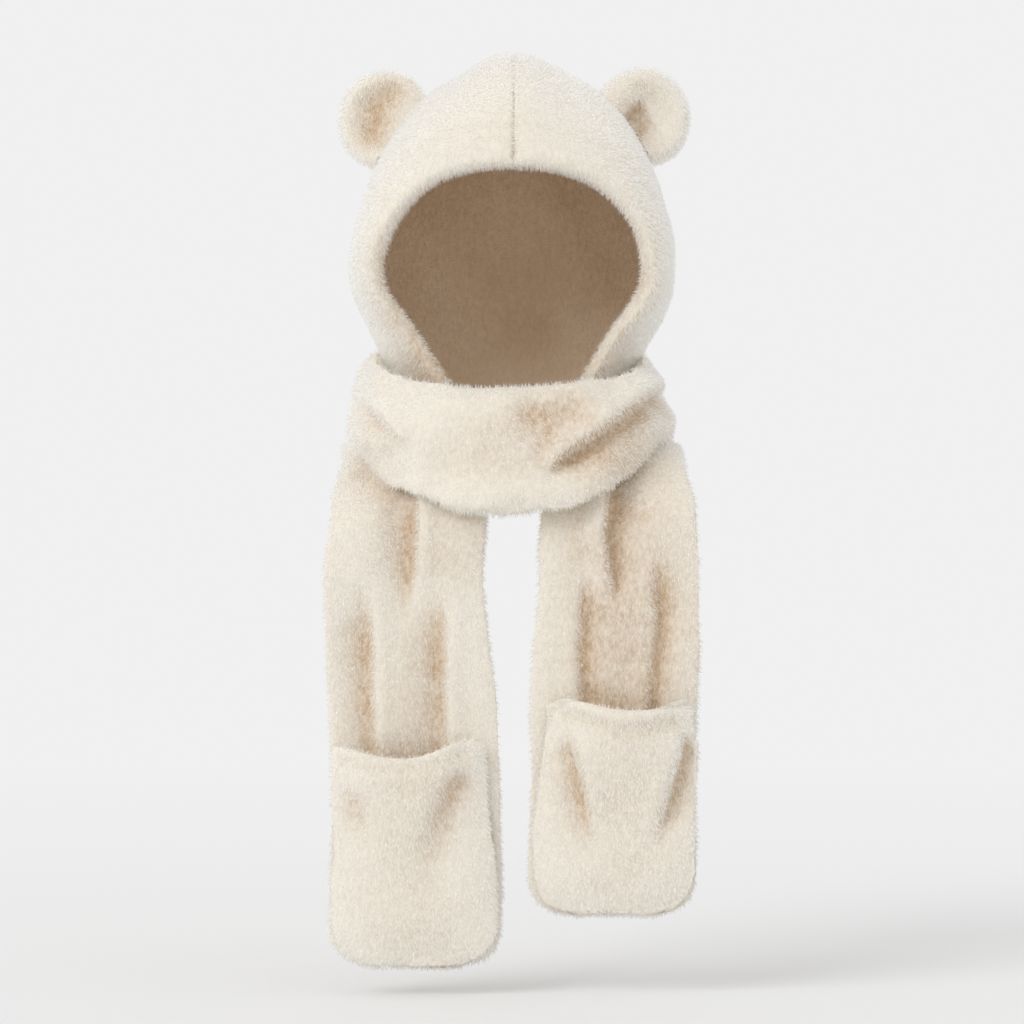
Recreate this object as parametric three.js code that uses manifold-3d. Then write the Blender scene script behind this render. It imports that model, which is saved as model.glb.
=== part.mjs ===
// Animal hood scarf: a lined two-panel plush hood with round ears, a wrap round the neck,
// and two hanging tails that end in patch pockets.
// Millimetres, +Z up, front towards -Y. The origin is the crown seat: the highest point
// inside the lining, where the top of a head rests.

import * as THREE from 'three';
import { mergeVertices } from 'three/addons/utils/BufferGeometryUtils.js';
import Module from 'manifold-3d';

// Walls and clearances
const panelWall = 10;
const liningWall = 4.5;
const pieceGap = 0.35;
const seamGap = 0.3;
const wrapClearance = 0.8;

// Hood: reaches of its outer form from the widest level, and the levels below the crown seat
const hoodHalfWidth = 123;
const hoodFrontReach = 116;
const hoodBackReach = 112;
const hoodCentreY = 8;
const hoodWidestDrop = 148;
const hoodFall = 200;
const hoodNeckDrop = 262;
const hoodBackRoundness = 2.2;
const gableDrop = 7;
const gableHalfWidth = 70;
const chinPull = 0.3;
const chinPullStart = 170;
const chinForwardShare = 0.62;
const gableStartShare = 0.35;
const gableFullShare = 0.8;
const neckSideTurn = 96;

// Rolled face edge and the centre seam
const rimThickness = 17;
const rimWidth = 29;
const seamPinch = 2;

// Ears
const earRadius = 36.5;
const earThickness = 25;
const earDish = 8;
const earStand = 15;
const earTilt = 40.5;
const earBehindWidest = 14;
const earYaw = 14;

// Neck wrap: drops of its top edge, its height at the front and its doubled thickness
const wrapFrontTopDrop = 240;
const wrapBackTopDrop = 196;
const wrapHeight = 103;
const wrapThickness = 25;
const wrapRoundness = 3.3;
const wrapFlareStart = -0.1;
const wrapFlareEnd = 0.62;
const tailPassStartTurn = 50;
const tailPassEndTurn = 118;
const wrapFrontShare = 0.2;

// Tails: where they hang, how they turn over the shoulders, and their ends
const tailWidth = 120;
const tailEndWidth = 127;
const tailThickness = 14;
const tailForward = 112;
const tailTurnHeight = 95;
const tailTurnRoundness = 2.6;
const tailRearReach = 52;
const tailRearWidth = 30;
const tailCrestWidth = 76;
const tailNeckClear = 60;
const tailCornerRadius = 28;
const tailFoldDepth = 9;
const tailFoldWidth = 13;
const foldLead = 0.12;
const foldSettle = 0.1;
const foldTrail = 0.2;
const tailHangShare = 0.5;
const thinEdgeShare = 0.4;
const edgeSquareness = 8;
const thinEndShare = 0.45;
const leftTailSpread = 81.5;
const leftTailEndSpread = 72;
const leftTailDrop = 684;
const rightTailSpread = 78;
const rightTailEndSpread = 73.5;
const rightTailDrop = 645;

// Pockets
const leftPocketHeight = 168;
const rightPocketHeight = 162;
const pocketWall = 9;
const pocketStandOff = 16;
const pocketHem = 18;
const pocketHemSwell = 3.5;
const pocketInset = 13;
const pocketOuterInset = 2;
const pocketFoldDepth = 4;
const pocketFoldWidth = 9;
const pocketWidenShare = 0.75;
const pocketOpenHalfShare = 0.84;
const pocketLowShare = 0.28;
const pocketBagEnd = 0.62;
const pocketCloseStart = 0.8;
const pocketCloseEnd = 0.96;
const pocketLipShare = 0.5;
const pocketLipRun = 0.8;

// Colours
const plushColour = '#EADFCB';
const liningColour = '#C9AC8C';

// The hood's reach to the side, front and back at each ring angle, as shares of the reaches
// above. A ring angle of 0 is the widest level and 90 is the crown. Square is the exponent
// of the front half of the ring.
const hoodRings = [
  { ring: -60, side: 0.90, front: 0.86, back: 0.74, square: 3.0 },
  { ring: -35, side: 0.945, front: 0.94, back: 0.88, square: 3.2 },
  { ring: -18, side: 0.96, front: 0.98, back: 0.96, square: 3.4 },
  { ring: 0, side: 1, front: 1, back: 1, square: 3.3 },
  { ring: 35, side: 1, front: 1, back: 1, square: 2.5 },
  { ring: 90, side: 1, front: 1, back: 1, square: 2.1 },
];

// The face edge by its turn from the top of the opening: how far forward it lies, as a share
// of the hood's front reach.
const faceEdge = [
  { turn: 0, forward: 0.905 },
  { turn: 40, forward: 0.875 },
  { turn: 90, forward: 0.77 },
  { turn: 130, forward: 0.71 },
  { turn: 165, forward: 0.71 },
  { turn: 180, forward: 0.71 },
];

// Sections of an ear from the middle of its front to the middle of its back: how far out, as
// a share of the radius, and how far forward, as a share of half the thickness.
const earSections = [
  { out: 0.14, forward: 1, dish: 1 },
  { out: 0.36, forward: 1, dish: 0.86 },
  { out: 0.56, forward: 1, dish: 0.42 },
  { out: 0.74, forward: 1, dish: 0.06 },
  { out: 0.89, forward: 0.74, dish: 0 },
  { out: 0.98, forward: 0.3, dish: 0 },
  { out: 0.98, forward: -0.3, dish: 0 },
  { out: 0.87, forward: -0.72, dish: 0 },
  { out: 0.62, forward: -0.95, dish: 0 },
  { out: 0.3, forward: -1, dish: 0 },
];

// The wrap by its turn from the front: how far its top edge has risen from the front drop to
// the back drop, its height as a share of the height at the front, its thickness, and how
// much of that it has at its top edge, from which it flares downwards.
const wrapSections = [
  { turn: 0, rise: 0, height: 1, wall: 1, lip: 0.72 },
  { turn: 15, rise: 0, height: 0.98, wall: 1, lip: 0.7 },
  { turn: 30, rise: 0.04, height: 0.83, wall: 0.98, lip: 0.6 },
  { turn: 45, rise: 0.16, height: 0.71, wall: 0.92, lip: 0.45 },
  { turn: 60, rise: 0.34, height: 0.67, wall: 0.94, lip: 0.3 },
  { turn: 90, rise: 0.61, height: 0.70, wall: 0.86, lip: 0.2 },
  { turn: 115, rise: 0.76, height: 0.78, wall: 0.88, lip: 0.3 },
  { turn: 140, rise: 0.9, height: 0.92, wall: 0.94, lip: 0.45 },
  { turn: 180, rise: 1, height: 1, wall: 1, lip: 0.5 },
];

// Creases of the wrap: start and end by turn from the front (positive to the right) and by
// share of the height below the top edge, with depth and half width as shares of its thickness.
const wrapFolds = [
  { turn: -62, down: 0.42, endTurn: -27, endDown: 0.78, deep: 0.26, wide: 0.42 },
  { turn: 78, down: 0.34, endTurn: 44, endDown: 0.40, deep: 0.34, wide: 0.36 },
  { turn: 44, down: 0.40, endTurn: 17, endDown: 0.68, deep: 0.34, wide: 0.4 },
  { turn: 20, down: 0.22, endTurn: 12, endDown: 0.3, deep: 0.16, wide: 0.5 },
  { turn: 150, down: 0.3, endTurn: 205, endDown: 0.55, deep: 0.26, wide: 0.42 },
  { turn: 235, down: 0.25, endTurn: 268, endDown: 0.6, deep: 0.2, wide: 0.42 },
];

// Long folds of each tail: start and end by share of the drop from the crest to the pocket's
// mouth, place across from -1 on the left to 1 on the right, with depth and half width.
const leftTailFolds = [
  { from: 0.22, to: 0.72, across: -0.06, endAcross: 0.04, deep: 1, wide: 1 },
  { from: 0.55, to: 1.04, across: 0.34, endAcross: 0.42, deep: 0.7, wide: 0.9 },
  { from: 0.5, to: 1.04, across: -0.62, endAcross: -0.5, deep: 0.7, wide: 1.2 },
];
const rightTailFolds = [
  { from: 0.22, to: 0.66, across: 0.04, endAcross: 0, deep: 1, wide: 1.1 },
  { from: 0.5, to: 1.04, across: -0.42, endAcross: -0.38, deep: 0.65, wide: 0.9 },
  { from: 0.42, to: 1.04, across: 0.5, endAcross: 0.38, deep: 0.75, wide: 1 },
];

// Creases of each pocket: start and end by place across and by share of its height below the
// mouth. Mouth rows give how far the mouth lies above or below its level, in hem heights.
const leftPocketFolds = [
  { across: 0.74, down: 0.14, endAcross: 0.28, endDown: 0.6, deep: 1, wide: 1 },
  { across: -0.8, down: 0.22, endAcross: -0.56, endDown: 0.56, deep: 0.5, wide: 1 },
];
const rightPocketFolds = [
  { across: -0.56, down: 0.18, endAcross: -0.34, endDown: 0.72, deep: 0.9, wide: 1 },
  { across: 0.86, down: 0.2, endAcross: 0.56, endDown: 0.7, deep: 0.9, wide: 1 },
];
const leftMouth = [
  { across: -1, lift: 0.05 },
  { across: -0.4, lift: -0.38 },
  { across: 0.1, lift: -0.3 },
  { across: 0.7, lift: 0.32 },
  { across: 1, lift: 0.2 },
];
const rightMouth = [
  { across: -1, lift: -0.1 },
  { across: -0.7, lift: 0.3 },
  { across: 0, lift: -0.25 },
  { across: 0.5, lift: -0.05 },
  { across: 1, lift: 0.2 },
];

// Mesh steps
const panelArchSteps = 14;
const panelDepthSteps = 16;
const rollSteps = 6;
const wrapTurnSteps = 44;
const wrapRingSteps = 18;
const earTurnSteps = 24;
const turnSteps = 8;
const dropSteps = 15;
const pocketRows = 11;
const pocketRowSpacing = 1.12;
const archSpacing = 1.35;
const lengthSamples = 48;
const slopeStep = 0.004;
const acrossStations = [-1, -0.92, -0.72, -0.5, -0.3, -0.1, 0.1, 0.3, 0.5, 0.72, 0.92, 1];
const cornerStations = [0.7, 0.4, 0.16, 0.03];
const rearStations = [1, 0.7, 0.35];

// Worked-out levels
const wallSum = panelWall + pieceGap + liningWall;
const hoodRise = hoodWidestDrop + wallSum;
const hoodCentre = new THREE.Vector3(0, hoodCentreY, -hoodWidestDrop);
const neckZ = -hoodNeckDrop;

const wasm = await Module();
wasm.setup();

function clamp(value, low, high) {
  return Math.min(high, Math.max(low, value));
}

function ease(from, to, value) {
  const t = clamp((value - from) / (to - from), 0, 1);
  return t * t * (3 - 2 * t);
}

// Smooth value of one column of a table at a place along another column.
function tableValue(rows, along, at, column) {
  const last = rows.length - 1;
  const place = clamp(at, rows[0][along], rows[last][along]);
  let i = 0;
  while (i < last - 1 && place > rows[i + 1][along]) {
    i += 1;
  }
  const slope = (a, b) => (rows[b][column] - rows[a][column]) / (rows[b][along] - rows[a][along]);
  const span = rows[i + 1][along] - rows[i][along];
  const t = (place - rows[i][along]) / span;
  const startSlope = i === 0 ? 0 : slope(i - 1, i + 1);
  const endSlope = i + 1 === last ? 0 : slope(i, i + 2);
  const h1 = 2 * t ** 3 - 3 * t ** 2 + 1;
  const h2 = t ** 3 - 2 * t ** 2 + t;
  const h3 = -2 * t ** 3 + 3 * t ** 2;
  const h4 = t ** 3 - t ** 2;
  const ends = h1 * rows[i][column] + h3 * rows[i + 1][column];
  return ends + span * (h2 * startSlope + h4 * endSlope);
}

// How strongly a crease from one place to another is felt at a place, from 0 to 1.
function creaseAt(a, b, startA, startB, endA, endB, halfWidth) {
  const runA = endA - startA;
  const runB = endB - startB;
  const t = ((a - startA) * runA + (b - startB) * runB) / (runA * runA + runB * runB);
  const near = clamp(t, 0, 1);
  const away = Math.hypot(a - startA - runA * near, b - startB - runB * near) / halfWidth;
  return Math.exp(-away * away);
}

// Last place along a ray from 0 to reach where the test still says inside.
function edgeOf(inside, reach) {
  let low = 0;
  let high = reach;
  for (let step = 0; step < 40; step += 1) {
    const middle = (low + high) / 2;
    if (inside(middle)) {
      low = middle;
    } else {
      high = middle;
    }
  }
  return low;
}

// Closed skin through a row of loops. Each loop closes on itself. An open row of loops is
// capped at both ends by joining each point to its partner across the loop.
function skin(loops, closedRow, flipDiagonal) {
  const count = loops[0].length;
  const rows = loops.length;
  const position = loops.flat().flatMap((p) => [p.x, p.y, p.z]);
  const index = [];
  const quad = (a, b, c, d, flip) => {
    if (flip) {
      index.push(a, b, d, b, c, d);
    } else {
      index.push(a, b, c, a, c, d);
    }
  };
  const lastRow = closedRow ? rows : rows - 1;
  for (let i = 0; i < lastRow; i += 1) {
    const next = (i + 1) % rows;
    for (let k = 0; k < count; k += 1) {
      const after = (k + 1) % count;
      const flip = flipDiagonal ? flipDiagonal(i) : false;
      quad(i * count + k, next * count + k, next * count + after, i * count + after, flip);
    }
  }
  if (!closedRow) {
    const end = (rows - 1) * count;
    for (let k = 0; k < count / 2 - 1; k += 1) {
      const partner = count - 1 - k;
      quad(k, k + 1, partner - 1, partner, false);
      quad(end + partner, end + partner - 1, end + k + 1, end + k, false);
    }
  }
  const geometry = new THREE.BufferGeometry();
  geometry.setAttribute('position', new THREE.Float32BufferAttribute(position, 3));
  geometry.setIndex(index);
  return facesOut(geometry);
}

// Turns all faces round if the closed geometry is inside out.
function facesOut(geometry) {
  const p = geometry.attributes.position;
  const index = geometry.index;
  const corner = (i) => new THREE.Vector3().fromBufferAttribute(p, index.getX(i));
  let volume = 0;
  for (let i = 0; i < index.count; i += 3) {
    volume += corner(i).dot(corner(i + 1).cross(corner(i + 2)));
  }
  if (volume < 0) {
    for (let i = 0; i < index.count; i += 3) {
      const first = index.getX(i);
      index.setX(i, index.getX(i + 1));
      index.setX(i + 1, first);
    }
  }
  return geometry;
}

function mirrored(loops) {
  return loops.map((loop) => loop.map((p) => new THREE.Vector3(-p.x, p.y, p.z)));
}

function toSolid(geometry) {
  const merged = mergeVertices(geometry);
  const vertProperties = new Float32Array(merged.attributes.position.array);
  const triVerts = new Uint32Array(merged.index.array);
  return new wasm.Manifold(new wasm.Mesh({ numProp: 3, vertProperties, triVerts }));
}

function toGeometry(solid) {
  const mesh = solid.getMesh();
  const geometry = new THREE.BufferGeometry();
  geometry.setAttribute('position', new THREE.Float32BufferAttribute(mesh.vertProperties, 3));
  geometry.setIndex([...mesh.triVerts]);
  return geometry;
}

// Outer form of the hood: true inside its ring at the height of the point.
function insideHood(x, y, z) {
  const up = z + hoodWidestDrop;
  const level = up > 0 ? up / hoodRise : up / hoodFall;
  if (Math.abs(level) >= 1) {
    return false;
  }
  const ring = THREE.MathUtils.radToDeg(Math.asin(level));
  const scale = Math.sqrt(1 - level * level);
  const back = y > hoodCentreY;
  const sideReach = hoodHalfWidth * scale * tableValue(hoodRings, 'ring', ring, 'side');
  const frontReach = hoodFrontReach * scale * tableValue(hoodRings, 'ring', ring, 'front');
  const backReach = hoodBackReach * scale * tableValue(hoodRings, 'ring', ring, 'back');
  const power = back ? hoodBackRoundness : tableValue(hoodRings, 'ring', ring, 'square');
  const along = Math.abs(y - hoodCentreY) / (back ? backReach : frontReach);
  return (Math.abs(x) / sideReach) ** power + along ** power < 1;
}

const farReach = 2 * (hoodHalfWidth + hoodRise);

// Point of the hood's form at a level, by its turn from the front.
function hoodAtLevel(turn, z, spare) {
  const side = Math.sin(THREE.MathUtils.degToRad(turn));
  const forward = Math.cos(THREE.MathUtils.degToRad(turn));
  const inside = (r) => insideHood(r * side, hoodCentreY - r * forward, z);
  const reach = edgeOf(inside, farReach) + spare;
  return new THREE.Vector3(reach * side, hoodCentreY - reach * forward, z);
}

// Point of the hood's form straight out from its centre towards another point.
function hoodTowards(target) {
  const way = target.clone().sub(hoodCentre).normalize();
  const at = (r) => hoodCentre.clone().addScaledVector(way, r);
  const inside = (r) => {
    const p = at(r);
    return insideHood(p.x, p.y, p.z);
  };
  return at(edgeOf(inside, farReach));
}

// Point of the face edge by its turn from the top of the opening.
function faceEdgeAt(turn) {
  const side = Math.sin(THREE.MathUtils.degToRad(turn));
  const up = Math.cos(THREE.MathUtils.degToRad(turn));
  const y = hoodCentreY - hoodFrontReach * tableValue(faceEdge, 'turn', turn, 'forward');
  const inside = (r) => insideHood(r * side, y, -hoodWidestDrop + r * up);
  const reach = edgeOf(inside, farReach);
  return new THREE.Vector3(reach * side, y, -hoodWidestDrop + reach * up);
}

const faceFootTurn = edgeOf((turn) => turn < 90 || faceEdgeAt(turn).z > neckZ, 179);
const foreheadPoint = faceEdgeAt(0);
const napePoint = hoodAtLevel(180, neckZ, 0);
const faceFoot = faceEdgeAt(faceFootTurn);
const sideFoot = hoodAtLevel(neckSideTurn, neckZ, 0);
const faceFootAzimuth = THREE.MathUtils.radToDeg(Math.atan2(faceFoot.x, hoodCentreY - faceFoot.y));

function seamAt(depth) {
  const angleOf = (p) => Math.atan2(p.z - hoodCentre.z, p.y - hoodCentre.y);
  const angle = THREE.MathUtils.lerp(angleOf(foreheadPoint), angleOf(napePoint), depth);
  const way = new THREE.Vector3(0, Math.cos(angle), Math.sin(angle));
  return hoodTowards(hoodCentre.clone().add(way));
}

// Outer surface of the right half of the hood. Arch runs from the centre seam (0) to the
// front foot (1), and depth from the face edge (0) back to the neck edge (1). The four
// border curves are blended and the result is pushed out to the form.
function hoodPoint(arch, depth) {
  const face = faceEdgeAt(arch * faceFootTurn);
  const neck = hoodAtLevel(THREE.MathUtils.lerp(180, neckSideTurn, arch), neckZ, 0);
  const seam = seamAt(depth);
  const foot = hoodAtLevel(THREE.MathUtils.lerp(faceFootAzimuth, neckSideTurn, depth), neckZ, 0);
  const p = new THREE.Vector3();
  p.addScaledVector(face, 1 - depth).addScaledVector(neck, depth);
  p.addScaledVector(seam, 1 - arch).addScaledVector(foot, arch);
  p.addScaledVector(foreheadPoint, -(1 - arch) * (1 - depth));
  p.addScaledVector(napePoint, -(1 - arch) * depth);
  p.addScaledVector(faceFoot, -arch * (1 - depth));
  p.addScaledVector(sideFoot, -arch * depth);
  return shaped(hoodTowards(p));
}

// The gable along the centre seam, and the front corners drawn together under the chin.
function shaped(p) {
  const nearTop = ease(gableStartShare, gableFullShare, (p.z + hoodWidestDrop) / hoodRise);
  const slope = Math.sin(Math.PI * clamp(Math.abs(p.x) / gableHalfWidth, 0, 1));
  const low = ease(-chinPullStart, neckZ, p.z);
  const forward = ease(0, -chinForwardShare * hoodFrontReach, p.y);
  p.z -= gableDrop * slope * nearTop;
  p.x *= 1 - chinPull * low * forward;
  return p;
}

// One arch station of the hood, ready to be read by distance back from the face edge.
function hoodStation(arch) {
  const lengths = [0];
  let before = hoodPoint(arch, 0);
  for (let i = 1; i <= lengthSamples; i += 1) {
    const here = hoodPoint(arch, i / lengthSamples);
    lengths.push(lengths[i - 1] + here.distanceTo(before));
    before = here;
  }
  const depthAt = (distance) => {
    let i = 0;
    while (i < lengthSamples - 1 && lengths[i + 1] < distance) {
      i += 1;
    }
    return (i + (distance - lengths[i]) / (lengths[i + 1] - lengths[i])) / lengthSamples;
  };
  return { arch, length: lengths[lengthSamples], depthAt };
}

// Point of the hood by station, distance back from the face edge and offset from the outer
// surface, which is negative inwards. On the centre seam the offset stays in the middle plane.
function hoodOffset(station, distance, offset) {
  const depth = clamp(station.depthAt(distance), 0, 1);
  const archLow = Math.max(0, station.arch - slopeStep);
  const archHigh = Math.min(1, station.arch + slopeStep);
  const depthLow = Math.max(0, depth - slopeStep);
  const depthHigh = Math.min(1, depth + slopeStep);
  const alongArch = hoodPoint(archHigh, depth).sub(hoodPoint(archLow, depth));
  const alongDepth = hoodPoint(station.arch, depthHigh).sub(hoodPoint(station.arch, depthLow));
  const out = alongDepth.cross(alongArch);
  if (station.arch === 0) {
    out.x = 0;
  }
  out.normalize();
  const p = hoodPoint(station.arch, depth);
  if (out.dot(p.clone().sub(hoodCentre)) < 0) {
    out.negate();
  }
  return p.addScaledVector(out, offset);
}

const archStations = Array.from({ length: panelArchSteps + 1 }, (_, i) => {
  return hoodStation((i / panelArchSteps) ** archSpacing);
});

// Distances back from the face edge, from the end of the rolled rim to the neck edge.
function depthStations(station, start) {
  const steps = Array.from({ length: panelDepthSteps + 1 }, (_, j) => j / panelDepthSteps);
  return steps.map((t) => THREE.MathUtils.lerp(start, station.length, t));
}

// Right panel: outer face, the rolled face edge, and the inner face, with a groove at the seam.
function panelLoops() {
  const roll = rimThickness / 2;
  return archStations.map((station) => {
    const distances = depthStations(station, rimWidth);
    const pinch = station.arch === 0 ? seamPinch : 0;
    const outer = distances.map((s) => hoodOffset(station, s, -pinch)).reverse();
    const half = (rimWidth + roll) / 2;
    outer.push(hoodOffset(station, half, -pinch));
    const inner = distances.map((s) => hoodOffset(station, s, -panelWall));
    const stepDepth = (rimThickness + panelWall) / 2;
    inner.unshift(hoodOffset(station, half, -stepDepth));
    const rolled = [];
    for (let k = 0; k < rollSteps; k += 1) {
      const angle = Math.PI * (0.5 - k / (rollSteps - 1));
      const distance = roll * (1 - Math.cos(angle));
      const offset = -roll + (roll - pinch / 2) * Math.sin(angle) - pinch / 2;
      rolled.push(hoodOffset(station, distance, offset));
    }
    const loop = [...outer, ...rolled, ...inner];
    if (station.arch === 0) {
      loop.forEach((p) => {
        p.x = seamGap / 2;
      });
    }
    return loop;
  });
}

// Lining: one skin from foot to foot, a gap inside the panels and behind the rolled edge.
function liningLoops() {
  const start = rimWidth + pieceGap;
  const half = archStations.map((station) => {
    const distances = depthStations(station, start);
    const outer = distances.map((s) => hoodOffset(station, s, -(panelWall + pieceGap)));
    const inner = distances.map((s) => hoodOffset(station, s, -wallSum)).reverse();
    return [...outer, ...inner];
  });
  return [...mirrored(half.slice(1)).reverse(), ...half];
}

// A slightly grown solid of the hood's form, which seats the ears.
function hoodPlug() {
  const half = archStations.map((station) => {
    const distances = depthStations(station, rimWidth);
    const outer = distances.map((s) => hoodOffset(station, s, pieceGap)).reverse();
    const inner = distances.map((s) => hoodOffset(station, s, 0).lerp(hoodCentre, 0.5));
    return [...outer, ...inner];
  });
  const loops = [...mirrored(half.slice(1)).reverse(), ...half];
  return toSolid(skin(loops, false, (i) => i < panelArchSteps));
}

// Stuffed ear: a dished disc that leans with the hood, cut where it meets the hood.
function earGeometry(side, plug) {
  const tilt = THREE.MathUtils.degToRad(earTilt);
  const out = new THREE.Vector3(side * Math.sin(tilt), 0, Math.cos(tilt));
  const aim = hoodCentre.clone().addScaledVector(out, hoodRise);
  aim.y += earBehindWidest;
  const seat = shaped(hoodTowards(aim));
  const centre = seat.clone().addScaledVector(out, earStand);
  const yaw = THREE.MathUtils.degToRad(earYaw) * side;
  const forward = new THREE.Vector3(Math.sin(yaw), -Math.cos(yaw), 0);
  const across = new THREE.Vector3(Math.cos(yaw), Math.sin(yaw), 0);
  const up = new THREE.Vector3(0, 0, 1);
  const loops = earSections.map((row) => {
    const lift = (row.forward * earThickness) / 2 - row.dish * earDish;
    return Array.from({ length: earTurnSteps }, (_, k) => {
      const angle = ((k + 0.5) / earTurnSteps) * 2 * Math.PI;
      const p = centre.clone().addScaledVector(forward, lift);
      p.addScaledVector(across, row.out * earRadius * Math.cos(angle));
      return p.addScaledVector(up, row.out * earRadius * Math.sin(angle));
    });
  });
  return toGeometry(toSolid(skin(loops, false)).subtract(plug));
}

function wrapTopZ(turn) {
  const rise = tableValue(wrapSections, 'turn', Math.abs(turn), 'rise');
  return -THREE.MathUtils.lerp(wrapFrontTopDrop, wrapBackTopDrop, rise);
}

function wrapBottomZ(turn) {
  return wrapTopZ(turn) - wrapHeight * tableValue(wrapSections, 'turn', Math.abs(turn), 'height');
}

// The tails pass under the sides of the wrap and behind its front.
const crestZ = wrapBottomZ(90) - pieceGap;
const turnFootZ = crestZ - tailTurnHeight;

// How far forward the tails' outer surface has come at a level.
function tailForwardAt(z) {
  const left = clamp((z - turnFootZ) / tailTurnHeight, 0, 1);
  return tailForward * (1 - left ** tailTurnRoundness) ** (1 / tailTurnRoundness);
}

// Reach of the wrap's inner face from the hood's centre line: it follows the hood, and lower
// down in front it clears the tails.
function wrapInnerReach(turn, z) {
  const seat = hoodAtLevel(turn, Math.max(z, neckZ), wrapClearance);
  const reach = Math.hypot(seat.x, seat.y - hoodCentreY);
  const forward = Math.cos(THREE.MathUtils.degToRad(turn));
  if (forward < wrapFrontShare) {
    return reach;
  }
  return Math.max(reach, (hoodCentreY + tailForwardAt(z) + wrapClearance) / forward);
}

function wrapCrease(turn, down) {
  const aroundToHeight = (hoodHalfWidth * Math.PI) / 180 / wrapHeight;
  return wrapFolds.reduce((sum, fold) => {
    const wide = (fold.wide * wrapThickness) / wrapHeight;
    const start = fold.turn * aroundToHeight;
    const end = fold.endTurn * aroundToHeight;
    const felt = [turn, turn + 360].map((t) => {
      return creaseAt(t * aroundToHeight, down, start, fold.down, end, fold.endDown, wide);
    });
    return sum + fold.deep * Math.max(...felt);
  }, 0);
}

// Wrap: a full loop with a rounded section that flares from its top edge downwards.
function wrapLoops() {
  return Array.from({ length: wrapTurnSteps }, (_, i) => {
    const fullTurn = (i / wrapTurnSteps) * 360;
    const turn = fullTurn > 180 ? fullTurn - 360 : fullTurn;
    const side = Math.sin(THREE.MathUtils.degToRad(turn));
    const forward = Math.cos(THREE.MathUtils.degToRad(turn));
    const column = (name) => tableValue(wrapSections, 'turn', Math.abs(turn), name);
    const overTail = Math.abs(turn) > tailPassStartTurn && Math.abs(turn) < tailPassEndTurn;
    const lowest = overTail ? crestZ + pieceGap : -Infinity;
    const top = wrapTopZ(turn);
    const bottom = Math.max(wrapBottomZ(turn), lowest);
    const topReach = wrapInnerReach(turn, top);
    return Array.from({ length: wrapRingSteps }, (_, k) => {
      const angle = ((k + 0.5) / wrapRingSteps) * 2 * Math.PI;
      const bend = (v) => Math.sign(v) * Math.abs(v) ** (2 / wrapRoundness);
      const outward = (1 + bend(Math.cos(angle))) / 2;
      const down = (1 - bend(Math.sin(angle))) / 2;
      const z = THREE.MathUtils.lerp(top, bottom, down);
      const inner = wrapInnerReach(turn, z);
      const flare = THREE.MathUtils.lerp(column('lip'), 1, ease(wrapFlareStart, wrapFlareEnd, down));
      const wall = wrapThickness * column('wall') * flare;
      const outer = Math.max(topReach, inner) + wall * (1 - wrapCrease(turn, down));
      const reach = THREE.MathUtils.lerp(inner, outer, outward);
      return new THREE.Vector3(reach * side, hoodCentreY - reach * forward, z);
    });
  });
}

// Share of a padded edge's thickness at a place across, rounded towards both sides.
function edgeRound(across) {
  return Math.max(thinEdgeShare, Math.sqrt(Math.max(0, 1 - Math.abs(across) ** edgeSquareness)));
}

// Stations of a tail from its rear end over the crest and down to its rounded end. Each has
// the middle of the outer surface, the way out of it, and shares for width and thickness.
function tailStations(bottomZ) {
  const stations = [];
  for (const share of rearStations) {
    stations.push({ y: tailRearReach * share, z: crestZ, outY: 0, outZ: 1 });
  }
  for (let i = 0; i <= turnSteps; i += 1) {
    const angle = (i / turnSteps) * (Math.PI / 2);
    const power = 2 / tailTurnRoundness;
    const y = -tailForward * Math.sin(angle) ** power;
    const z = turnFootZ + tailTurnHeight * Math.cos(angle) ** power;
    const gradeY = -((-y / tailForward) ** (tailTurnRoundness - 1)) / tailForward;
    const gradeZ = ((z - turnFootZ) / tailTurnHeight) ** (tailTurnRoundness - 1) / tailTurnHeight;
    const size = Math.hypot(gradeY, gradeZ);
    stations.push({ y, z: Math.min(z, crestZ), outY: gradeY / size, outZ: gradeZ / size });
  }
  const cornerZ = bottomZ + tailCornerRadius;
  for (let i = 1; i <= dropSteps; i += 1) {
    const z = THREE.MathUtils.lerp(turnFootZ, cornerZ, i / dropSteps);
    stations.push({ y: -tailForward, z, outY: -1, outZ: 0 });
  }
  for (const share of cornerStations) {
    stations.push({ y: -tailForward, z: bottomZ + tailCornerRadius * share, outY: -1, outZ: 0 });
  }
  stations.push({ y: -tailForward, z: bottomZ, outY: -1, outZ: 0 });
  return stations;
}

// Half width of a tail or pocket end whose bottom corners are rounded.
function roundedHalf(half, aboveEnd) {
  const into = clamp(tailCornerRadius - aboveEnd, 0, tailCornerRadius);
  return half - tailCornerRadius + Math.sqrt(tailCornerRadius ** 2 - into ** 2);
}

function endRound(aboveEnd) {
  return THREE.MathUtils.lerp(thinEndShare, 1, Math.sqrt(ease(0, tailThickness, aboveEnd)));
}

// Side edges of a tail at a station, as distances from the middle plane: beside the neck on
// the crest, drawn in behind it, and full width once it hangs.
function tailEdges(tail, y, z) {
  const hang = ease(crestZ, crestZ - tailTurnHeight * tailHangShare, z);
  const low = ease(turnFootZ, tail.mouthZ, z);
  const spread = THREE.MathUtils.lerp(tail.spread, tail.endSpread, low);
  const half = THREE.MathUtils.lerp(tailWidth, tailEndWidth, low) / 2;
  const rear = clamp(y / tailRearReach, 0, 1) ** 2;
  const crestOuter = tailNeckClear + THREE.MathUtils.lerp(tailCrestWidth, tailRearWidth, rear);
  return {
    inner: THREE.MathUtils.lerp(tailNeckClear, spread - half, hang),
    outer: THREE.MathUtils.lerp(crestOuter, spread + half, hang),
  };
}

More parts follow.
